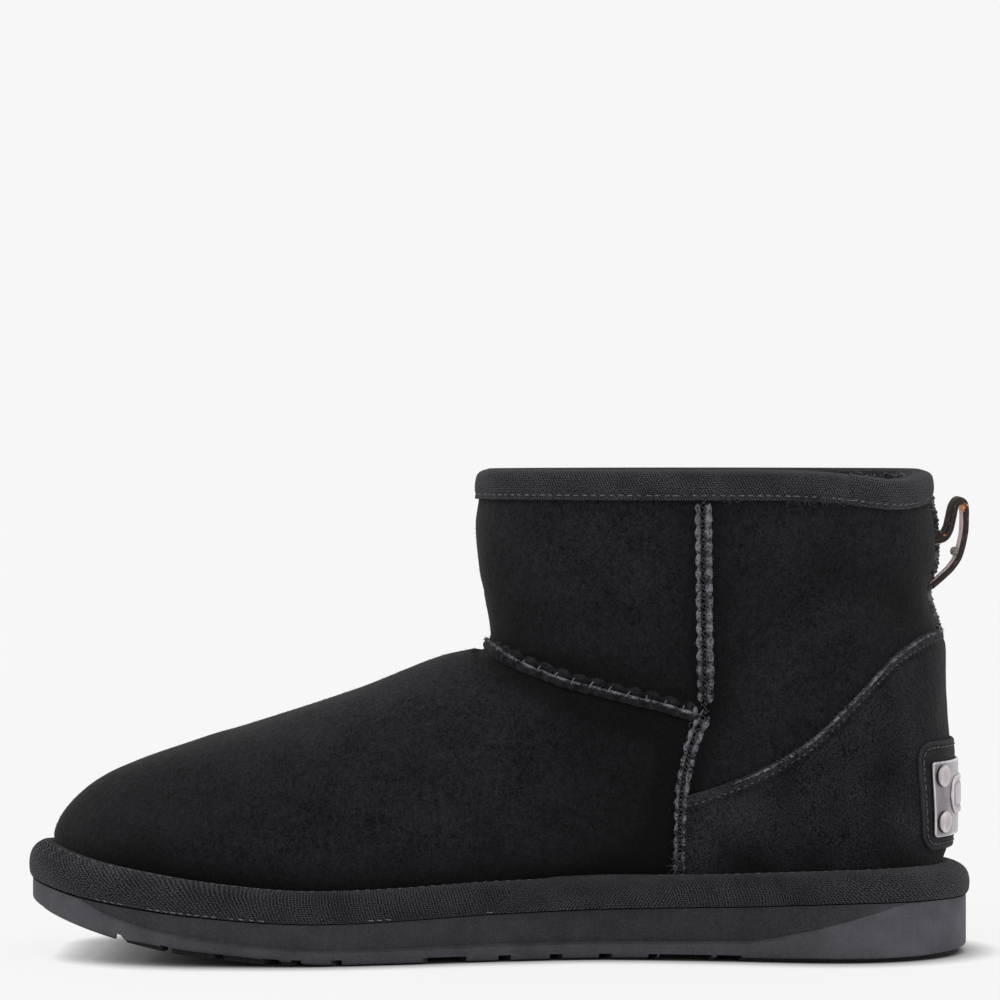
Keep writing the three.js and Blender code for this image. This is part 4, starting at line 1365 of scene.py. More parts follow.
def stitch_recipe():
    lengths = ("Pitch", "Length", "Thickness", "Lift", "Sink")
    recipe = Recipe("stitches", lengths, ("Slant", "Zigzag", "Jitter"))
    size, step, maths = recipe.size, recipe.step, recipe.maths
    line = step("GeometryNodeMeshToCurve", None, {"Mesh": size("Base")})
    even = {"Curve": line, "Length": size("Pitch")}
    spaced = step("GeometryNodeResampleCurve", {"mode": "LENGTH"}, even)
    upright = step(ALIGN, {"axis": "Z"}, {"Vector": recipe.stored("out")})
    tangent = step("GeometryNodeInputTangent")
    lying = step(ALIGN, {"axis": "X", "pivot_axis": "Z"}, {"Rotation": upright, "Vector": tangent})
    odd = maths("MODULO", step("GeometryNodeInputIndex"), 2.0)
    flip = maths("SUBTRACT", 1.0, maths("MULTIPLY", maths("MULTIPLY", odd, 2.0), size("Zigzag")))
    jitter = recipe.random(maths("MULTIPLY", size("Jitter"), -1.0), size("Jitter"))
    lean = maths("ADD", maths("MULTIPLY", size("Slant"), flip), jitter)
    half = maths("MULTIPLY", size("Length"), 0.5)
    under = maths("MULTIPLY", size("Sink"), -1.0)
    bow = step("GeometryNodeCurveQuadraticBezier", None, {
        "Resolution": 4,
        "Start": recipe.vector(x=maths("MULTIPLY", half, -1.0), z=under),
        "Middle": recipe.vector(z=maths("MULTIPLY", size("Lift"), 2.0)),
        "End": recipe.vector(x=half, z=under),
    })
    bar = recipe.rod(bow, 5, size("Thickness"))
    turned = recipe.turned(lying, lean)
    return recipe.finish(recipe.placed(spaced, bar, turned, Scale=recipe.random(0.88, 1.12, 5)))


stitches = stitch_recipe()

# %% Fibres
def fibre_recipe():
    """The density is in hairs per square millimetre, where the stored growth is 1."""
    recipe = Recipe("fibres", ("Length", "Thickness"), ("Density", "Bend", "Spread", "Sides", "Bends"))
    size, step, maths = recipe.size, recipe.step, recipe.maths
    in_metres = maths("MULTIPLY", size("Density"), MM**-2)
    density = maths("MULTIPLY", in_metres, recipe.stored("growth", "FLOAT"))
    over = {"Mesh": size("Base"), "Density": density, "Seed": size("Seed")}
    scatter = step("GeometryNodeDistributePointsOnFaces", None, over)
    normal = scatter.node.outputs["Normal"]
    spread = maths("MULTIPLY", size("Spread"), -1.0)
    shake = recipe.vector(*(recipe.random(spread, size("Spread"), shift) for shift in (1, 2, 3)))
    lean = step("ShaderNodeVectorMath", {"operation": "ADD"}, {0: normal, 1: shake})
    upright = step(ALIGN, {"axis": "Z"}, {"Vector": lean})
    turned = recipe.turned(upright, recipe.random(0.0, 2 * pi, 4))
    length = size("Length")
    aside = maths("MULTIPLY", length, size("Bend"))
    hair = step("GeometryNodeCurveQuadraticBezier", None, {
        "Resolution": size("Bends"),
        "Start": recipe.vector(z=maths("MULTIPLY", length, -0.15)),
        "Middle": recipe.vector(x=maths("MULTIPLY", aside, -0.3), z=length),
        "End": recipe.vector(x=aside, z=maths("MULTIPLY", length, 0.7)),
    })
    taper = maths("SUBTRACT", 1.0, maths("MULTIPLY", step("GeometryNodeSplineParameter"), 0.8))
    tube = recipe.rod(hair, size("Sides"), size("Thickness"), Scale=taper)
    return recipe.finish(recipe.placed(scatter, tube, turned, Scale=recipe.random(0.6, 1.25, 5)))


fibres = fibre_recipe()

# %% Set pieces
def set_recipe():
    recipe = Recipe("set pieces", parts=("Part",))
    facing = recipe.step(ALIGN, {"axis": "Z"}, {"Vector": recipe.stored("out")})
    level = recipe.step(ALIGN, {"axis": "Y", "pivot_axis": "Z"}, {"Rotation": facing, "Vector": (0, 0, 1)})
    part = recipe.step("GeometryNodeObjectInfo", None, {"Object": recipe.size("Part")}, "Geometry")
    return recipe.finish(recipe.placed(recipe.size("Base"), part, level))


set_pieces = set_recipe()

# %% Lines to sew along
def seam_line(name, points, outward, closed=False):
    """A bare line of points, each knowing which way is out of the surface."""
    count = len(points)
    mesh = bpy.data.meshes.new(name)
    edges = [(i, (i + 1) % count) for i in range(count if closed else count - 1)]
    mesh.from_pydata((np.asarray(points) * MM).tolist(), edges, [])
    layer = mesh.attributes.new("out", "FLOAT_VECTOR", "POINT")
    layer.data.foreach_set("vector", np.asarray(outward, np.float32).ravel())
    return add_object(name, mesh)


def sew(name, points, outward, look, slot, closed=False, **sizes):
    """A row of stitches as a finished piece."""
    defaults = {"Lift": 0.3, "Sink": 0.25, "Thickness": 0.45, "Slant": 0.0, "Zigzag": 0.0, "Jitter": 0.05}
    line = seam_line(name + " line", points, outward, closed)
    row = grow(name, line, stitches, look, **(defaults | sizes))
    discard(line)
    return hand_over(row, None, slot)


# %% [markdown]
# ## Insole
#
# The footbed is a slab of foam under wool that fills the bottom of the hollow. Its top is drawn in
# row by row to the middle of the foot, and lumps of wool lift it a little.

# %% Insole
INSOLE = SimpleNamespace(thick=5, edge=1, around=160, rows=14, pile=0.7)
insole_angles = loop_angles(INSOLE.around)
edge_rows = [
    # up, inset, share of the way to the middle
    (0, 0, 0),
    (INSOLE.thick - INSOLE.edge, 0, 0),
    (INSOLE.thick - 0.3, 0.5, 0),
    (INSOLE.thick, INSOLE.edge, 0),
]
top_rows = [(INSOLE.thick, INSOLE.edge, share) for share in np.linspace(0.08, 0.97, INSOLE.rows)]
insole_rows = []
for up, inset, drawn_in in edge_rows + top_rows:
    edge = sideways(insole_angles, up, np.full(INSOLE.around, -(WALL + 2 * GAP + inset)))
    edge[:, 1] = mix(edge[:, 1], foot_plan.middle(edge[:, 0]), drawn_in)
    pile = INSOLE.pile * lumps_at(edge, 5, seed=3) * (drawn_in > 0)
    edge[:, 2] = sole_top_at(edge[:, 0]) + GAP + up + pile
    insole_rows.append(edge)
insole_rows = np.array(insole_rows)
insole = loops_piece("insole_wool", insole_rows, ladder_ends(insole_rows))
hand_over(insole, dyed_wool, "wool", "insole")

# %% [markdown]
# ## Heel counter
#
# A second piece of suede wraps the heel and stiffens it. It is a sheet laid over the upper's own
# surface, from one side seam round the back to the other, with a top edge that climbs to the heel.
# It thins out at its edge, and a furrow of stitching runs a little inside that.

# %% The counter's outline
COUNTER = SimpleNamespace(inside=0.2, outside=1.7, front=-54.5, over_roll=0.2, columns=200, rows=84,
                          highest=98.5)
counter_top = table("at height", [
    (-137, 98.5),
    (-129, 97),
    (-120, 92.5),
    (-105, 78.5),
    (-90, 64.5),
    (-75, 56),
    (-54, 48.3),
])


def heel_x(side, z):
    back = foot.back(z)
    return back + (COUNTER.front - back) * (1 - np.cos(pi / 2 * np.abs(side)))


def heel_point(x, z, side, out, folded=True):
    """The heel's face at a place and height, moved out, on the inner side where side is over 0."""
    angle, level = turn_to_side(angle_at(x, z), side), level_at(x, z)
    if folded:
        return suede_point(angle, level, out)
    return upper_point(angle, level) + upper_normal(angle, level) * np.asarray(out)[..., None]


def counter_heights(side):
    low, high = np.full(side.shape, float(LOWEST)), np.full(side.shape, COUNTER.highest)
    for _ in range(12):
        x = heel_x(side, low)
        low = sole_top_at(x) + GAP + roll_height_at(x) + COUNTER.over_roll
        high = counter_top.height(heel_x(side, high))
    return low, high


# %% The counter's sheet
def sheet_piece(name, face, back, sharp=None, uv=None):
    """A closed sheet: its face, its back, and the strip that joins them all round."""
    rows, columns = face.shape[:2]
    total = rows * columns
    front_quads = grid_faces(rows, columns)
    back_quads = (front_quads + total)[:, ::-1]
    border = np.concatenate([
        np.arange(columns - 1),
        np.arange(rows - 1) * columns + columns - 1,
        total - 1 - np.arange(columns - 1),
        np.arange(rows - 1, 0, -1) * columns,
    ])
    after = np.roll(border, -1)
    rim_quads = np.stack([border, border + total, after + total, after], axis=-1)
    points = np.concatenate([face.reshape(-1, 3), back.reshape(-1, 3)])
    quads = np.concatenate([front_quads, back_quads, rim_quads])
    return make_piece(name, points, quads, uv=uv, sharp=sharp)


def sheet_tone(piece, tone, behind=0.0):
    """Stores the tone of a sheet's face, and one tone for all of its back."""
    set_values(piece, "tone", np.concatenate([tone.ravel(), np.full(tone.size, behind)]))


def edge_round(distance, radius):
    """How high a rounded edge stands, as a share, at a distance in from it."""
    return np.sqrt(1 - (1 - np.clip(distance / radius, 0, 1)) ** 2)


across = np.linspace(-1, 1, COUNTER.columns)
low, high = counter_heights(across)
climb = 1 - (1 - np.linspace(0, 1, COUNTER.rows)) ** 1.25
counter_z = mix(low, high, climb[:, None])
counter_x = heel_x(across, counter_z)
from_top = (high - counter_z) * 0.8
counter_out = mix(0.75, COUNTER.outside, edge_round(from_top, 1.1))
counter_out -= 0.28 * bell(from_top - 2.6, 0.55)
flat_place = np.stack([counter_x, across * 60 + 0 * counter_z, counter_z], -1)
counter_out += 0.16 * lumps_at(flat_place, 5, seed=11)
counter_face = heel_point(counter_x, counter_z, across, counter_out)
counter_back = heel_point(counter_x, counter_z, across, np.full(counter_z.shape, COUNTER.inside))
counter = sheet_piece("counter_suede", counter_face, counter_back)
# painted highlight along the rounded top edge, mottled and stronger towards the back; painted shade in the
# stitch furrow below it
edge_highlight = (1 + 0.8 * lumps_at(counter_face, 3, seed=6)) * bell(from_top - 1.2, 1.2)
edge_highlight *= mix(0.4, 1, smooth_step(-58, -85, counter_x))
counter_tone = 0.78 + 0.55 * edge_highlight - 0.3 * bell(from_top - 3.4, 0.8)
by_seam = bell(counter_x + 60, 6) * smooth_step(26, 34, counter_z)
counter_tone += 0.1 * smooth_step(60, 95, counter_z) + 0.3 * by_seam
counter_tone -= 0.35 * smooth_step(44, 28, counter_z) * smooth_step(-62, -74, counter_x)
counter_tone += 0.42 * lumps_at(counter_face, 12, seed=4)
sheet_tone(counter, counter_tone, 0.6)
hand_over(counter, counter_suede, "counter_suede", "heel_counter")

# %% [markdown]
# ## The badge on the heel
#
# A leather patch carries a plain brushed plate, held by four rivets with an oval boss between them.
# Patch and plate bend round the heel, so a turn about an upright axis inside it gives their places,
# and the turn for a given length is found by walking along the curve. They bear no mark of any kind.

# %% Patch and plate
HEEL_DEPTH = 46
PATCH = SimpleNamespace(low=32.4, high=64.8, wide=62.4, flare=0.1, thick=1.1, corner=6, lies=2.0,
                        columns=110, rows=56)
PLATE = SimpleNamespace(low=36.4, high=58.9, wide=55.4, flare=0.08, thick=0.7, corner=1.2, lies=3.4,
                        columns=90, rows=40)
BOSS = SimpleNamespace(low=42.6, high=54, wide=38, flare=0, thick=0.7, corner=5.6, lies=4.15,
                       columns=72, rows=30)


def badge_point(turn, z, out):
    turn, z, out = np.broadcast_arrays(turn, z, out)
    x = foot.back(z) + HEEL_DEPTH * (1 - np.cos(turn))
    return heel_point(x, z, turn, out, folded=False)


def turn_for(length, z, out):
    """The turn at which the heel's face is that far from its back, along the curve."""
    turns = np.linspace(0, 1.4, 400)
    return np.interp(length, path_length(badge_point(turns, z, out)), turns)


def turn_at(shape, length, z):
    """The turn for a length along a badge piece, which is wider the higher it is by its flare."""
    middle, half = (shape.low + shape.high) / 2, shape.wide / 2
    return length / half * turn_for(half, middle, shape.lies) * (1 + shape.flare * (z - middle) / half)


def badge_grid(shape):
    """Turns, heights and the distance in from the edge, over a rectangle with round corners."""
    across = np.sin(np.linspace(-pi / 2, pi / 2, shape.columns))
    climb = (1 - np.cos(np.linspace(0, pi, shape.rows)))[:, None] / 2
    from_end = (1 - np.abs(across)) * shape.wide / 2
    short = shape.corner * (1 - rounded_end(from_end, shape.corner, 2))
    z = mix(shape.low + short, shape.high - short, climb)
    from_side = np.minimum(z - shape.low - short, shape.high - short - z)
    return turn_at(shape, across * shape.wide / 2, z), z, np.minimum(from_end + 0 * z, from_side)


def bent_sheet(name, shape, round_edge, dents=0.0):
    """A sheet bent round the heel, with a rounded edge and a furrow inside it if it is dented."""
    turn, z, inside = badge_grid(shape)
    share = mix(0.45, 1, edge_round(inside, round_edge))
    top = shape.lies + shape.thick * share - dents * bell(inside - 2, 0.6)
    piece = sheet_piece(name, badge_point(turn, z, top), badge_point(turn, z, shape.lies + 0 * z), sharp=50)
    return piece, inside


patch, patch_inside = bent_sheet("patch_leather", PATCH, 1.0, dents=0.22)
# painted highlight along the patch's rounded edge
patch_tone = 0.2 + 0.8 * bell(patch_inside - 0.5, 0.6)
sheet_tone(patch, patch_tone)
hand_over(patch, black_leather, "patch_leather", "heel_patch")
plate, plate_inside = bent_sheet("badge_metal", PLATE, 0.35)
# painted light: the plate's middle is lighter, and a painted highlight runs along its edges
from_middle = np.abs(np.linspace(-1, 1, PLATE.columns))[None] + 0 * plate_inside
plate_tone = 0.38 + 0.5 * smooth_step(0.65, 0.3, from_middle) + 0.9 * bell(plate_inside, 0.45)
sheet_tone(plate, plate_tone)
hand_over(plate, plate_metal, "gunmetal", "badge_plate")

# %% Rivets and boss
RIVET = SimpleNamespace(radius=3.3, height=1.0, aside=4.8, up=4.4, sides=28, sharp=1.0)
RIVET_SECTION = [
    # out, up
    (0, 0),
    (1, 0),
    (1.02, 0.3),
    (0.99, 0.62),
    (0.92, 0.86),
    (0.8, 0.97),
    (0.4, 1.02),
    (0, 1.04),
]
# painted light, one value to a ring from the foot up: shade at the foot, a highlight round the rim
RIVET_LIGHT_AND_SHADE = [0.2, 0.4, 0.9, 1.3, 1.2, 0.95]


def turned_part(name, section, radius, height, sides):
    """A round part turned from its section, standing on z = 0."""
    angles = loop_angles(sides)
    rings = [(out * radius, up * height) for out, up in section[1:-1]]
    points = [(r * np.cos(a), r * np.sin(a), z) for r, z in rings for a in angles]
    last = (len(rings) - 1) * sides
    top = len(points)
    points += [(0, 0, section[-1][1] * height)]
    fan = [[last + i, last + (i + 1) % sides, top] for i in range(sides)]
    base = [list(range(sides))[::-1]]
    return make_piece(name, points, grid_faces(len(rings), sides, False, True), base + fan, sharp=60)


def badge_spots(turns, heights, out):
    """Points on the plate and the way out of it at each."""
    turns, heights = np.array(turns, float), np.array(heights, float)
    spots = badge_point(turns, heights, out)
    aside = badge_point(turns + 0.01, heights, out) - badge_point(turns - 0.01, heights, out)
    above = badge_point(turns, heights + 1, out) - badge_point(turns, heights - 1, out)
    outward = unit(np.cross(above, aside))
    return spots + 0.1 * outward, outward


head = turned_part("rivet head", RIVET_SECTION, RIVET.radius, RIVET.height, RIVET.sides)
ring_light_and_shade = np.repeat(RIVET_LIGHT_AND_SHADE, RIVET.sides)
set_values(head, "tone", np.concatenate([ring_light_and_shade, RIVET_LIGHT_AND_SHADE[-1:]]))
rivet_heights = np.array([PLATE.low + RIVET.up, PLATE.high - RIVET.up] * 2)
rivet_sides = np.array([INNER, INNER, OUTER, OUTER])
turns = rivet_sides * turn_at(PLATE, PLATE.wide / 2 - RIVET.aside, rivet_heights)
places = seam_line("rivet places", *badge_spots(turns, rivet_heights, PLATE.lies + PLATE.thick))
rivets = grow("rivets", places, set_pieces, rivet_metal, Part=head)
discard(places)
discard(head)
rivets.data.set_sharp_from_angle(angle=RIVET.sharp)
names = [f"rivet_{side}_{end}" for side in ("inner", "outer") for end in ("low", "high")]
hand_over(rivets, None, "gunmetal", *names)

turn, z, inside_edge = badge_grid(BOSS)
crown = mix(0.25, 1, edge_round(inside_edge, 0.8)) - 0.5 * bell(inside_edge - 2.2, 0.5)
face = badge_point(turn, z, BOSS.lies + BOSS.thick * crown)
boss = sheet_piece("oval_boss", face, badge_point(turn, z, BOSS.lies + 0 * z), sharp=50)
# painted highlight round the boss's edge, and painted shade in the groove inside it
boss_tone = 1.05 + 0.3 * bell(inside_edge, 0.6) - 0.7 * bell(inside_edge - 2.2, 0.45)
sheet_tone(boss, boss_tone)
hand_over(boss, plate_metal, "gunmetal", "badge_boss")

# %% [markdown]
# ## Seams between the suede pieces
#
# Two edges of sheepskin are too thick to fold, so they are butted and overcast. That leaves two
# fuzzy ridges side by side, pinched at every stitch, with thread crossing between them. Each ridge is
# an oval section carried along a line on the suede, and it swells and shrinks with the stitches.
# The side seams run from the roll to the collar. At the throat the shaft's edge lies in scallops over
# the front piece's raised lip.

# %% Lines on the suede
def even_steps(path, spacing):
    """Where to sample a path for even spacing, counted in its own points."""
    gone = path_length(path)
    count = max(int(gone[-1] / spacing), 2)
    return np.interp(np.linspace(0, gone[-1], count + 1), gone, np.arange(len(path)))


def suede_line(angle, level, out, spacing=0.5):
    """An even line of points on the suede, and the way out at each."""
    places = np.arange(len(angle))
    steps = even_steps(upper_point(angle, level), spacing)
    angle, level, out = (np.interp(steps, places, values + 0.0 * places) for values in (angle, level, out))
    return suede_point(angle, level, out), upper_normal(angle, level)


def side_line(side, low, high, out=0.15, aside=0.0):
    """The side seam between two heights, or a line beside it, towards the toe if aside is over 0."""
    z = np.linspace(low, high, 300)
    x = side_seam.at(z) + aside
    over_counter = mix(1.0, 0.0, smooth_step(46, 54, z))
    return suede_line(turn_to_side(angle_at(x, z), side), level_at(x, z), out + over_counter)


def throat_line(out, above=0.0):
    """The throat seam from the outer side seam over the front to the inner one."""
    end = angle_at(*THROAT.end)
    angles = np.linspace(-end, end, 900)
    low = np.full(angles.shape, float(THROAT.lowest))
    high = np.full(angles.shape, float(THROAT.highest))
    for _ in range(24):
        middle = (low + high) / 2
        over = middle > throat_seam.height(upper_point(angles, middle)[:, 0])
        low, high = np.where(over, low, middle), np.where(over, middle, high)
    return suede_line(angles, middle + above, out)


# %% A ridge along a line
RIDGE_SIDES, RIDGE_TAPER = 12, 2.5


def directions(path, outward):
    """Across and up, at each point of a line that lies on a surface."""
    tangent = unit(np.gradient(path, axis=0))
    across = unit(np.cross(outward, tangent))
    return across, unit(np.cross(tangent, across))


def ridge(name, line, look, half, high, aside=0.0, pitch=4.1, puff=0.35, bulge=0.0, lit=0.0):
    """A puffed ridge beside a line. Its wave is 0 at the stitches and 1 between them."""
    path, outward = line
    across, up = directions(path, outward)
    gone = path_length(path)
    wave = np.abs(np.sin(pi * gone / pitch))
    swell = (1 - puff + puff * wave) * (1 + 0.16 * lumps_at(path, 1.4, seed=8))
    taper = rounded_end(gone, RIDGE_TAPER, 2) * rounded_end(gone[-1] - gone, RIDGE_TAPER, 2)
    size = np.maximum(swell * taper, 0.03)
    turn = loop_angles(RIDGE_SIDES)
    sideway = (aside + bulge * wave)[:, None] + (half * size)[:, None] * np.cos(turn)
    raised = (high * size)[:, None] * np.sin(turn)
    rows = path[:, None] + across[:, None] * sideway[..., None] + up[:, None] * raised[..., None]
    piece = loops_piece(name, rows, flat_ends(rows))
    fuzz = lumps_at(rows, 0.8, seed=2) + lumps_at(rows, 2.6, seed=5)
    # painted light and shade: the ridge's top and its lit side are lighter, the puffs between stitches
    # lighter and the pinches at the stitches darker; the fuzz mottles it
    away = np.cos(turn) * (lit * np.sign(aside) + 0 * gone)[:, None]
    light = (0.35 + 0.55 * wave)[:, None] * (0.8 + 0.3 * np.sin(turn) + away)
    set_values(piece, "tone", light + 0.45 * fuzz)
    return hand_over(piece, look, "suede")


# %% Side seams
SIDE_SEAM = SimpleNamespace(low=25, high=138, pitch=4.1, parts=[("lower", 25, 73.2), ("upper", 76.6, 138)])
seam_thread = thread("seam thread", dye(34, 34, 37), dye(104, 103, 108))
ridges = []
for side, where in SIDES:
    for part, low, high in SIDE_SEAM.parts:
        line = side_line(side, low, high)
        narrow = mix(0.75, 1.0, smooth_step(45, 85, line[0][:, 2]))
        ridges.append(ridge(f"seam_front_{where}_{part}", line, raw_edge, 0.95 * narrow, 0.75,
                            side * 1.35 * narrow, puff=0.38, bulge=side * 0.35, lit=0.5))
        ridges.append(ridge(f"seam_back_{where}_{part}", line, raw_edge, 1.25 * narrow, 1.0,
                            side * -1.3 * narrow, puff=0.25, lit=0.4))
    points, outward = side_line(side, SIDE_SEAM.low, SIDE_SEAM.high)
    sew(f"seam_cross_{where}", points + 0.35 * outward, outward, black_thread, "suede",
        Pitch=SIDE_SEAM.pitch / 3, Length=2.9, Slant=1.0, Zigzag=1.0, Lift=0.5, Jitter=0.25)
    sew(f"seam_knots_{where}", points + 0.45 * outward, outward, seam_thread, "suede",
        Pitch=SIDE_SEAM.pitch / 3, Length=0.9, Slant=0.9, Lift=0.45, Thickness=0.35, Jitter=0.6)

# %% Throat seam
THROAT_PITCH = 5.6
TAG = SimpleNamespace(low=72.4, high=75.9, out=1.1, aside=2.9)
lip = throat_line(0.5)
in_front = smooth_step(-14, 3, lip[0][:, 0])
lip_half, lip_high = mix(0.6, 0.8, in_front), mix(0.9, 2.2, in_front)
ridges.append(ridge("throat_lip", lip, raw_edge, lip_half, lip_high, 0.05,
                    pitch=THROAT_PITCH, puff=0.3, lit=0.75))
under_lip = throat_line(0.2)
ridge("throat_fold", under_lip, upper_suede, 1.1 + 0 * lip_half, mix(0.9, 1.7, in_front), -1.0, puff=0.1)
scallops = throat_line(0.45)
ridge("throat_scallops", scallops, upper_suede, 1.35 + 0 * lip_half, mix(0.8, 1.7, in_front), 1.6,
      pitch=THROAT_PITCH, puff=0.45, bulge=0.6)
points, outward = throat_line(1.1)
across, _ = directions(points, outward)
sew("throat_stitches", points + 0.7 * across, outward, grey_thread, "suede",
    Pitch=THROAT_PITCH, Length=2.2, Thickness=0.42, Slant=1.3, Jitter=0.3)
for side, where in SIDES:
    tag = side_line(side, **vars(TAG))
    ridge(f"throat_tag_{where}", tag, raw_edge, 0.85, 0.6, side * 0.1, pitch=7, puff=0.2, lit=0.3)

# %% [markdown]
# ## Back seam
#
# The shaft closes at the back with an overlock seam over a low welt. Its thread makes slanting ribs
# about a millimetre apart, which is one row of long stitches lying well off the line.

# %% Back seam
BACK_SEAM = SimpleNamespace(low=97.5, high=139.2, pitch=1.15, half=3, raised=1.5, points=120)
z = np.linspace(BACK_SEAM.low, BACK_SEAM.high, BACK_SEAM.points)
back_line = suede_line(np.full(BACK_SEAM.points, pi), z, 0.1)
ridge("back_welt", back_line, raw_edge, BACK_SEAM.half, BACK_SEAM.raised, pitch=30, puff=0.05)
points, outward = back_line
sew("back_ribs", points, outward, grey_thread, "suede",
    Pitch=BACK_SEAM.pitch, Length=6.3, Thickness=0.62, Slant=1.2, Lift=1.7)

# %% [markdown]
# ## Stitching on the tapes, the counter and the patch
#
# A lockstitch shows as short, even dashes that dip under the surface between them. The same recipe
# makes every row, with its own pitch and thread: pale grey where the collar's tape is sewn, darker
# on the roll and the patch. Along the roll's lower edge a basting thread shows in short stretches.

# %% Rows on the collar and the roll
TAPE_STITCH = {"Pitch": 2.75, "Length": 2.0}
SEWN_OUT, SEWN_OVER_LAP = 1.05, 1.38
SEAM_POINTS = 720
# On the roll's section: its upper seam, its basting, and a place inside it.
ROLL_SEAM, BASTING, ROLL_CORE = (0.32, 1.0), (0.985, 0.07), (0.6, 0.4)

angles = loop_angles(SEAM_POINTS)
down = COLLAR.outside - COLLAR.furrow
points = collar_point(angles, np.full(SEAM_POINTS, SEWN_OUT), down)
flat = level_out(angles, RIM_HEIGHT - down, 0)
sew("collar_stitches", points, flat, grey_thread, "binding_tape", closed=True,
    **TAPE_STITCH, Thickness=0.4, Lift=0.18)

roll_top = roll_point(angles, *ROLL_SEAM)
upwards = np.tile((0.0, 0.0, 1.0), (SEAM_POINTS, 1))
sew("roll_stitches", roll_top, upwards, seam_thread, "binding_tape", closed=True,
    Pitch=3.3, Length=2.1, Thickness=0.4, Lift=0.3)

# Where the basting thread shows, from and to a place along the boot.
THREAD_SHOWS = [(119, 112), (103, 84), (79, 70), (38, 33), (3, -8), (-15, -24), (-29, -34)]
for number, (start, end) in enumerate(THREAD_SHOWS):
    under = np.linspace(np.arccos(start / TOE), np.arccos(end / TOE), 120)
    points = roll_point(under, *BASTING)
    outward = unit((points - roll_point(under, *ROLL_CORE)) * (1, 1, 0))
    sew(f"roll_basting_{number}", points, outward, grey_thread, "binding_tape",
        Pitch=2.3, Length=1.7, Thickness=0.32, Lift=0.1, Sink=0.12, Jitter=0.15)

# %% Rows on the patch
def badge_outline(shape, inset, arc=8):
    """Turns and heights of a line round a badge piece, drawn in from its edge."""
    corner = max(shape.corner - inset, 0.4)
    half, tall = shape.wide / 2 - inset - corner, (shape.high - shape.low) / 2 - inset - corner
    corners = [(half, tall), (-half, tall), (-half, -tall), (half, -tall)]
    flat = []
    for quarter, (u, v) in enumerate(corners):
        turn = pi / 2 * (quarter + np.linspace(0, 1, arc))
        flat.append(np.stack([u + corner * np.cos(turn), v + corner * np.sin(turn)], -1))
    flat = np.concatenate([*flat, flat[0][:1]])
    steps = even_steps(flat, 0.6)[:-1]
    u, v = (np.interp(steps, np.arange(len(flat)), column) for column in flat.T)
    z = v + (shape.low + shape.high) / 2
    return turn_at(shape, u, z), z


turns, heights = badge_outline(PATCH, 1.9)
points, outward = badge_spots(turns, heights, PATCH.lies + PATCH.thick - 0.15)
sew("patch_stitches", points, outward, seam_thread, "patch_leather", closed=True,
    Pitch=2.5, Length=1.8, Thickness=0.42, Lift=0.16, Jitter=0.2)

# %% [markdown]
# ## The counter's turned edge
#
# Along its top the counter's suede is skived and turned under, so its edge is a thicker cord than
# the rest, in the paler raw edge's finish and with painted light on it. A ridge laid on the edge
# gives that roundness, and one row of stitches runs close under it.

# %% Edge and stitches of the counter
share = np.linspace(-0.985, 0.985, 700)
_, top_heights = counter_heights(share)


def counter_line(below, out):
    """A line that follows the counter's top edge at a height below it."""
    heights = top_heights - below
    x = heel_x(share, heights)
    side = np.where(share < 0, -1, 1)
    angle, level = turn_to_side(angle_at(x, heights), side), level_at(x, heights)
    return suede_line(angle, level, out)


edge = counter_line(0.8, 1.0)
toward_back = mix(0.6, 1, smooth_step(-58, -85, edge[0][:, 0]))
ridges.append(ridge("counter_edge", edge, raw_edge, 0.6 * toward_back, 0.85 * toward_back, 0.01,
                    pitch=9, puff=0.15, lit=0.4))
points, outward = counter_line(2.9, COUNTER.outside - 0.2)
sew("counter_stitches", points, outward, seam_thread, "counter_suede",
    Pitch=2.2, Length=1.1, Thickness=0.34, Lift=0.12, Jitter=0.2)

# %% [markdown]
# ## Where the tapes meet
#
# Each tape ends on the inner side, where it lies over its own beginning. The free end is a thin sheet
# that follows the piece below, rises to its own thickness at its edge, and sinks away further on.
# On the roll it is cut in a long slant, and on the collar it is folded square.

# %% Tape ends
def lap(name, grid, lift, look, lean):
    """A tape's end over the piece below. The lift is how far each point stands off that piece."""
    outward = unit(np.cross(np.gradient(grid, axis=1), np.gradient(grid, axis=0)))
    face = grid + outward * lift[..., None]
    middle_row = len(grid) // 2
    uv = grid_uv(path_length(grid[middle_row]), path_length(grid[:, 0]))
    piece = sheet_piece(name, face, grid - 0.25 * outward, sharp=50, uv=uv)
    set_values(piece, "lean", np.full(2 * lift.size, lean))
    set_values(piece, "tone", np.full(2 * lift.size, 1.1))
    return hand_over(piece, look, "binding_tape")


ROLL_LAP = SimpleNamespace(start=1.5, slant=23, curve=1.7, until=-60, fades=28, thick=0.5, columns=90)
COLLAR_LAP = SimpleNamespace(start=-103.5, until=-126, fades=14, thick=0.55, columns=40)
SUNK, SUNK_SIDES = -0.15, -0.1


def lap_lift(shape, x, start):
    """How far a tape's end stands off: its thickness at the edge, and nothing further on."""
    rise = edge_round(start - x, 0.5) * (start - x > 0.01)
    fade = smooth_step(shape.until, shape.until + shape.fades, x)
    lift = mix(SUNK, shape.thick, np.minimum(rise, fade))
    lift[0] = lift[-1] = SUNK_SIDES
    return lift


section = smooth_path(ROLL_SECTION, 60)[20:58]
v = np.linspace(0, 1, len(section))[:, None]
start = ROLL_LAP.start - ROLL_LAP.slant * v**ROLL_LAP.curve
along = np.linspace(0, 1, ROLL_LAP.columns)[None] ** 1.6
x = mix(start, ROLL_LAP.until, along)
grid = roll_point(np.arccos(x / TOE), section[:, :1], section[:, 1:])
lap("roll_tape_end", grid, lap_lift(ROLL_LAP, x, start), rand_twill, -0.3)

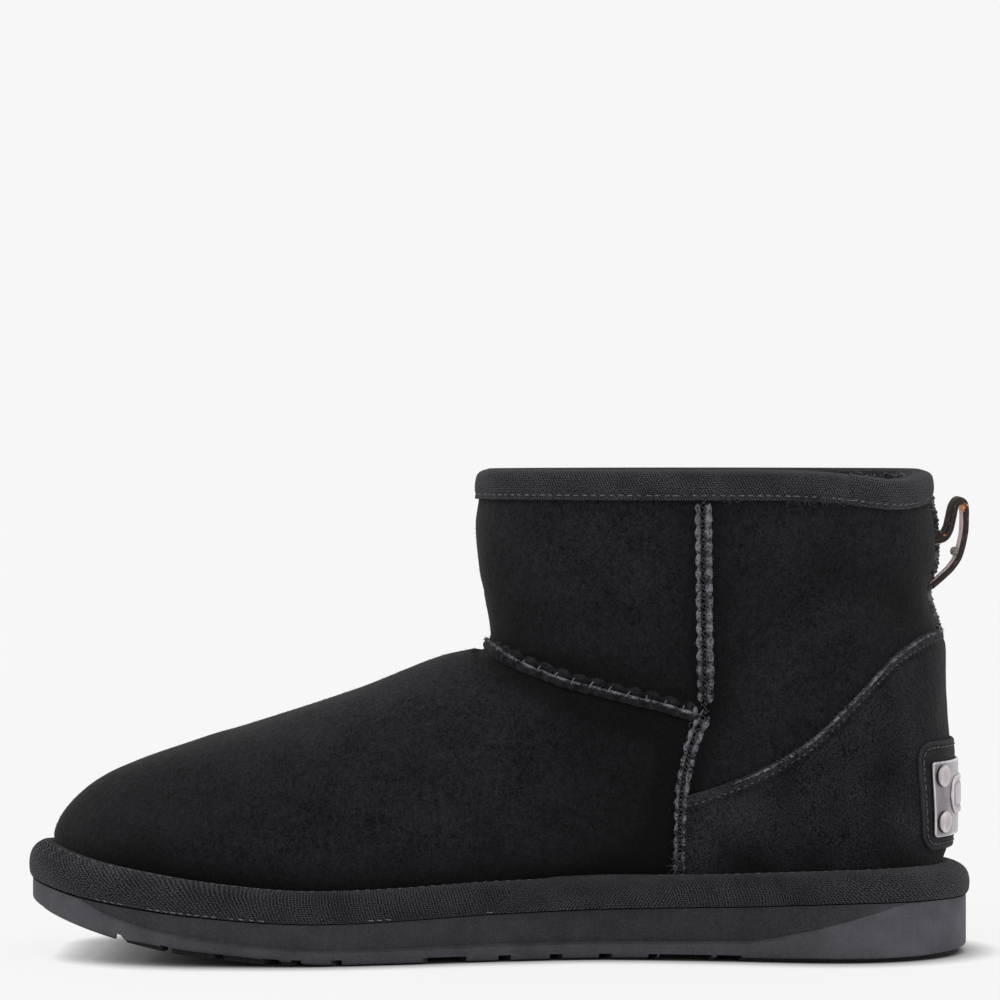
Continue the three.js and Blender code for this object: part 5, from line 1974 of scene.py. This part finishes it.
outer = smooth_path(COLLAR_OUTSIDE, 30)[:27]
along = np.linspace(0, 1, COLLAR_LAP.columns)[None] ** 1.5
x = mix(COLLAR_LAP.start, COLLAR_LAP.until, along) + 0 * outer[:, :1]
angle = angle_at(x, RIM_HEIGHT - outer[:, 1:])
grid = collar_point(angle, outer[:, :1] + 0 * x, outer[:, 1:] + 0 * x)
lap("collar_tape_end", grid, lap_lift(COLLAR_LAP, x, COLLAR_LAP.start + 0 * x), collar_twill, -0.6)
x = np.linspace(COLLAR_LAP.start - 0.8, COLLAR_LAP.until + 2, 60)
down = COLLAR.outside - COLLAR.furrow
lap_fade = smooth_step(COLLAR_LAP.until, COLLAR_LAP.until + COLLAR_LAP.fades, x)
over_lap = SEWN_OVER_LAP + COLLAR_LAP.thick * lap_fade
angle = angle_at(x, RIM_HEIGHT - down)
flat = level_out(angle, RIM_HEIGHT - down, 0)
sew("lap_stitches", collar_point(angle, over_lap, down), flat, seam_thread, "binding_tape",
    **TAPE_STITCH, Thickness=0.45, Lift=0.2, Slant=0.2)

# %% [markdown]
# ## The pull loop
#
# A ribbon comes out of the back seam, doubles over and goes in again lower down. It is a rounded
# strip carried along the CAD loop's middle line. It twists a few degrees on its way, so a little of
# its outer face shows on the way up, and a little of its pale inner face on the way down.

# %% Ribbon
LOOP = SimpleNamespace(wide=10, thick=2, y=3.5, twist=(-5, -4, 0, -1, -1), points=150)
LOOP_LINE = [
    (-131.6, 124.6),
    (-135.2, 125.8),
    (-136.9, 128.2),
    (-137.8, 131.8),
    (-138.6, 135.2),
    (-140.2, 136.9),
    (-141.5, 135.8),
    (-141.9, 132.8),
    (-141.8, 128.5),
    (-141.2, 124.5),
    (-139.9, 119.8),
    (-137.7, 116.4),
    (-135.2, 113.9),
    (-131.4, 110.6),
]


def ribbon_section(wide, thick, corner=0.8, arc=5):
    """A flat strip's section with rounded edges, as across and up."""
    corners = [(1, 1), (-1, 1), (-1, -1), (1, -1)]
    points = []
    for quarter, (u, v) in enumerate(corners):
        for turn in pi / 2 * (quarter + np.linspace(0, 1, arc)):
            across = u * (wide / 2 - corner) + corner * np.cos(turn)
            points.append((across, v * (thick / 2 - corner) + corner * np.sin(turn)))
        if quarter % 2 == 0:
            points += [(across * s, v * thick / 2) for s in (0.5, 0, -0.5)]
    return np.array(points)


middle_line = smooth_path(LOOP_LINE, LOOP.points)
path = np.stack([middle_line[:, 0], np.full(LOOP.points, LOOP.y), middle_line[:, 1]], -1)
tangent = unit(np.gradient(path, axis=0))
over = np.stack([tangent[:, 2], 0 * tangent[:, 2], -tangent[:, 0]], -1)
gone = path_length(path) / path_length(path)[-1]
twist = np.radians(np.interp(gone, np.linspace(0, 1, len(LOOP.twist)), LOOP.twist))[:, None]
sideway = np.cos(twist) * (0, 1, 0) + np.sin(twist) * over
upward_way = np.cos(twist) * over - np.sin(twist) * (0, 1, 0)
section = ribbon_section(LOOP.wide, LOOP.thick)
swell = mix(1.0, 1.25, bell(gone - 0.07, 0.05) + bell(gone - 0.38, 0.06))[:, None, None]
rows = path[:, None] + section[None, :, :1] * sideway[:, None]
rows = rows + section[None, :, 1:] * swell * upward_way[:, None]
ribbon_uv = grid_uv(round_length(rows[0]), path_length(path))
loop = loops_piece("pull_ribbon", rows, flat_ends(rows), ribbon_uv)
rust = 1.4 * bell(gone - 0.41, 0.035) + 0.9 * bell(gone - 0.08, 0.04) + 0.35 * (gone < 0.45) + 0.1
set_values(loop, "rust", rust[:, None] + 0 * rows[..., 0])
set_values(loop, "inner_face", (section[:, 1] < -0.92 * LOOP.thick / 2) + 0 * rows[..., 0])
hand_over(loop, loop_ribbon, "loop_ribbon", "pull_loop")

# %% Thread knot
KNOT = SimpleNamespace(place=(-138.4, 7.9, 121.4), radius=1.3, rings=12, sides=20)


def lumpy_ball(name, shape, lumps):
    """A ball pushed about by noise."""
    rise = np.linspace(-0.46, 0.46, shape.rings)[:, None] * pi
    turn = loop_angles(shape.sides)
    out = np.cos(rise)
    ball = np.stack(np.broadcast_arrays(out * np.cos(turn), out * np.sin(turn), np.sin(rise)), -1)
    ball = ball * (shape.radius * (1 + lumps * lumps_at(ball, 0.5, seed=9)))[..., None] + shape.place
    return loops_piece(name, ball, flat_ends(ball))


knot_thread = thread("knot thread", dye(84, 80, 74), dye(150, 144, 134))
hand_over(lumpy_ball("loop_knot", KNOT, 0.22), knot_thread, "loop_ribbon")

# %% [markdown]
# ## Nap, fuzz and wool
#
# Some hairs must be real, because they break the outline. The `growth` value says where they stand:
# a short sparse nap on the suede, fuzz on the raw seam edges, loose pale ends where a seam stops, and
# curls of wool inside. Wool curls are few and thick, since they only have to make the lining uneven.

# %% Hairs on a base
def grow_hairs(name, base, growth, look, slot, seed, **sizes):
    """Hairs as a finished piece, standing on a base where growth is over 0."""
    usual = {"Bend": 0.8, "Spread": 0.8, "Sides": 3.0, "Bends": 2.0}
    set_values(base, "growth", growth)
    hairs = grow(name, base, fibres, look, seed, **(usual | sizes))
    base.data.attributes.remove(base.data.attributes["growth"])
    return hand_over(hairs, None, slot)


def piece_points(piece):
    flat = np.zeros(len(piece.data.vertices) * 3)
    piece.data.vertices.foreach_get("co", flat)
    return flat.reshape(-1, 3) / MM


nap_fibre = thread("suede nap", dye(16, 16, 18), dye(66, 65, 70))
edge_fibre = thread("seam fuzz", dye(50, 50, 54), dye(118, 116, 122))

# %% Nap and fuzz
on_outside = np.zeros(len(outer_levels) + len(inner_levels))
on_outside[2:len(outer_levels) - 8] = 1
growth = np.repeat(on_outside, AROUND)
grow_hairs("suede_nap", upper, growth, nap_fibre, "suede", 3,
           Density=0.1, Length=0.42, Thickness=0.1, Bend=1.0, Spread=0.9)
for number, seam in enumerate(ridges):
    growth = np.ones(len(seam.data.vertices))
    grow_hairs(seam.name + "_fuzz", seam, growth, edge_fibre, "suede", 10 + number,
               Density=1.6, Length=0.7, Thickness=0.09)

# %% Wool curls
CURL = {"Spread": 0.6, "Sides": 4.0, "Bends": 3.0}
below_rim = rim_at(around)[None] - inside[..., 2]
# Curls start under the tape, and are sparser deep inside, where nobody sees them.
in_the_shaft = smooth_step(8.5, 10.5, below_rim) * smooth_step(4, 12, inner_levels)[:, None]
in_the_shaft = in_the_shaft * mix(1.0, 0.35, smooth_step(30, 60, below_rim))
growth = np.concatenate([np.zeros(outside.shape[:2]), in_the_shaft])
growth[len(outside)] = 0
grow_hairs("lining_curls", upper, growth, dyed_wool, "wool", 5,
           Density=0.17, Length=2.5, Thickness=1.5, **CURL)
top_of_insole = piece_points(insole)
growth = smooth_step(3.5, 5, top_of_insole[:, 2] - sole_top_at(top_of_insole[:, 0]))
grow_hairs("insole_curls", insole, growth, dyed_wool, "wool", 6,
           Density=0.1, Length=2.2, Thickness=1.5, **CURL)

# %% Wool over the tape's inner edge
points = piece_points(collar)
at_back = (points[:, 1] < 8) * smooth_step(-98, -104, points[:, 0])
highest = mix(3.2, 1.6, at_back)
on_inside = (collar_into < -RIM_WALL) * smooth_step(highest, highest + 0.8, collar_down)
growth = on_inside * smooth_step(8, 7, collar_down)
growth *= 1 + at_back
grow_hairs("rim_curls", collar, growth, dyed_wool, "wool", 7,
           Density=0.22, Length=1.9, Thickness=1.0, **CURL)

# %% Frayed ends
FRAYS = [(-65, -72), (-84, -104)]
place = points[:, 0]
growth = sum(smooth_step(low, low - 3, place) * smooth_step(high, high + 3, place) for low, high in FRAYS)
growth *= (points[:, 1] > 0) * (collar_into > 0.5) * smooth_step(8.2, 8.8, collar_down)
grow_hairs("collar_fray", collar, growth, nap_fibre, "binding_tape", 50,
           Density=3.2, Length=1.5, Thickness=0.42, Bends=3.0, Spread=1.0)
LOOSE = [
    # side, from height, to height, how dense
    (INNER, 25.5, 31, 1.0),
    (INNER, 69.5, 73, 0.8),
    (OUTER, 25.5, 31, 0.7),
    (OUTER, 69.5, 73, 0.6),
]
for number, (side, low, high, dense) in enumerate(LOOSE):
    seam = ridges[0 if side == INNER else 4]
    height = piece_points(seam)[:, 2]
    growth = dense * smooth_step(low - 1, low, height) * smooth_step(high + 1, high, height)
    grow_hairs(f"loose_ends_{number}", seam, growth, grey_thread, "suede", 40 + number,
               Density=0.9, Length=2.6, Thickness=0.13, Bends=3.0)

# %% [markdown]
# ## Triangles in all
#
# The last cell prints how many triangles all the finished pieces have.

# %% Close
print("triangles in all:", sum(made_pieces))
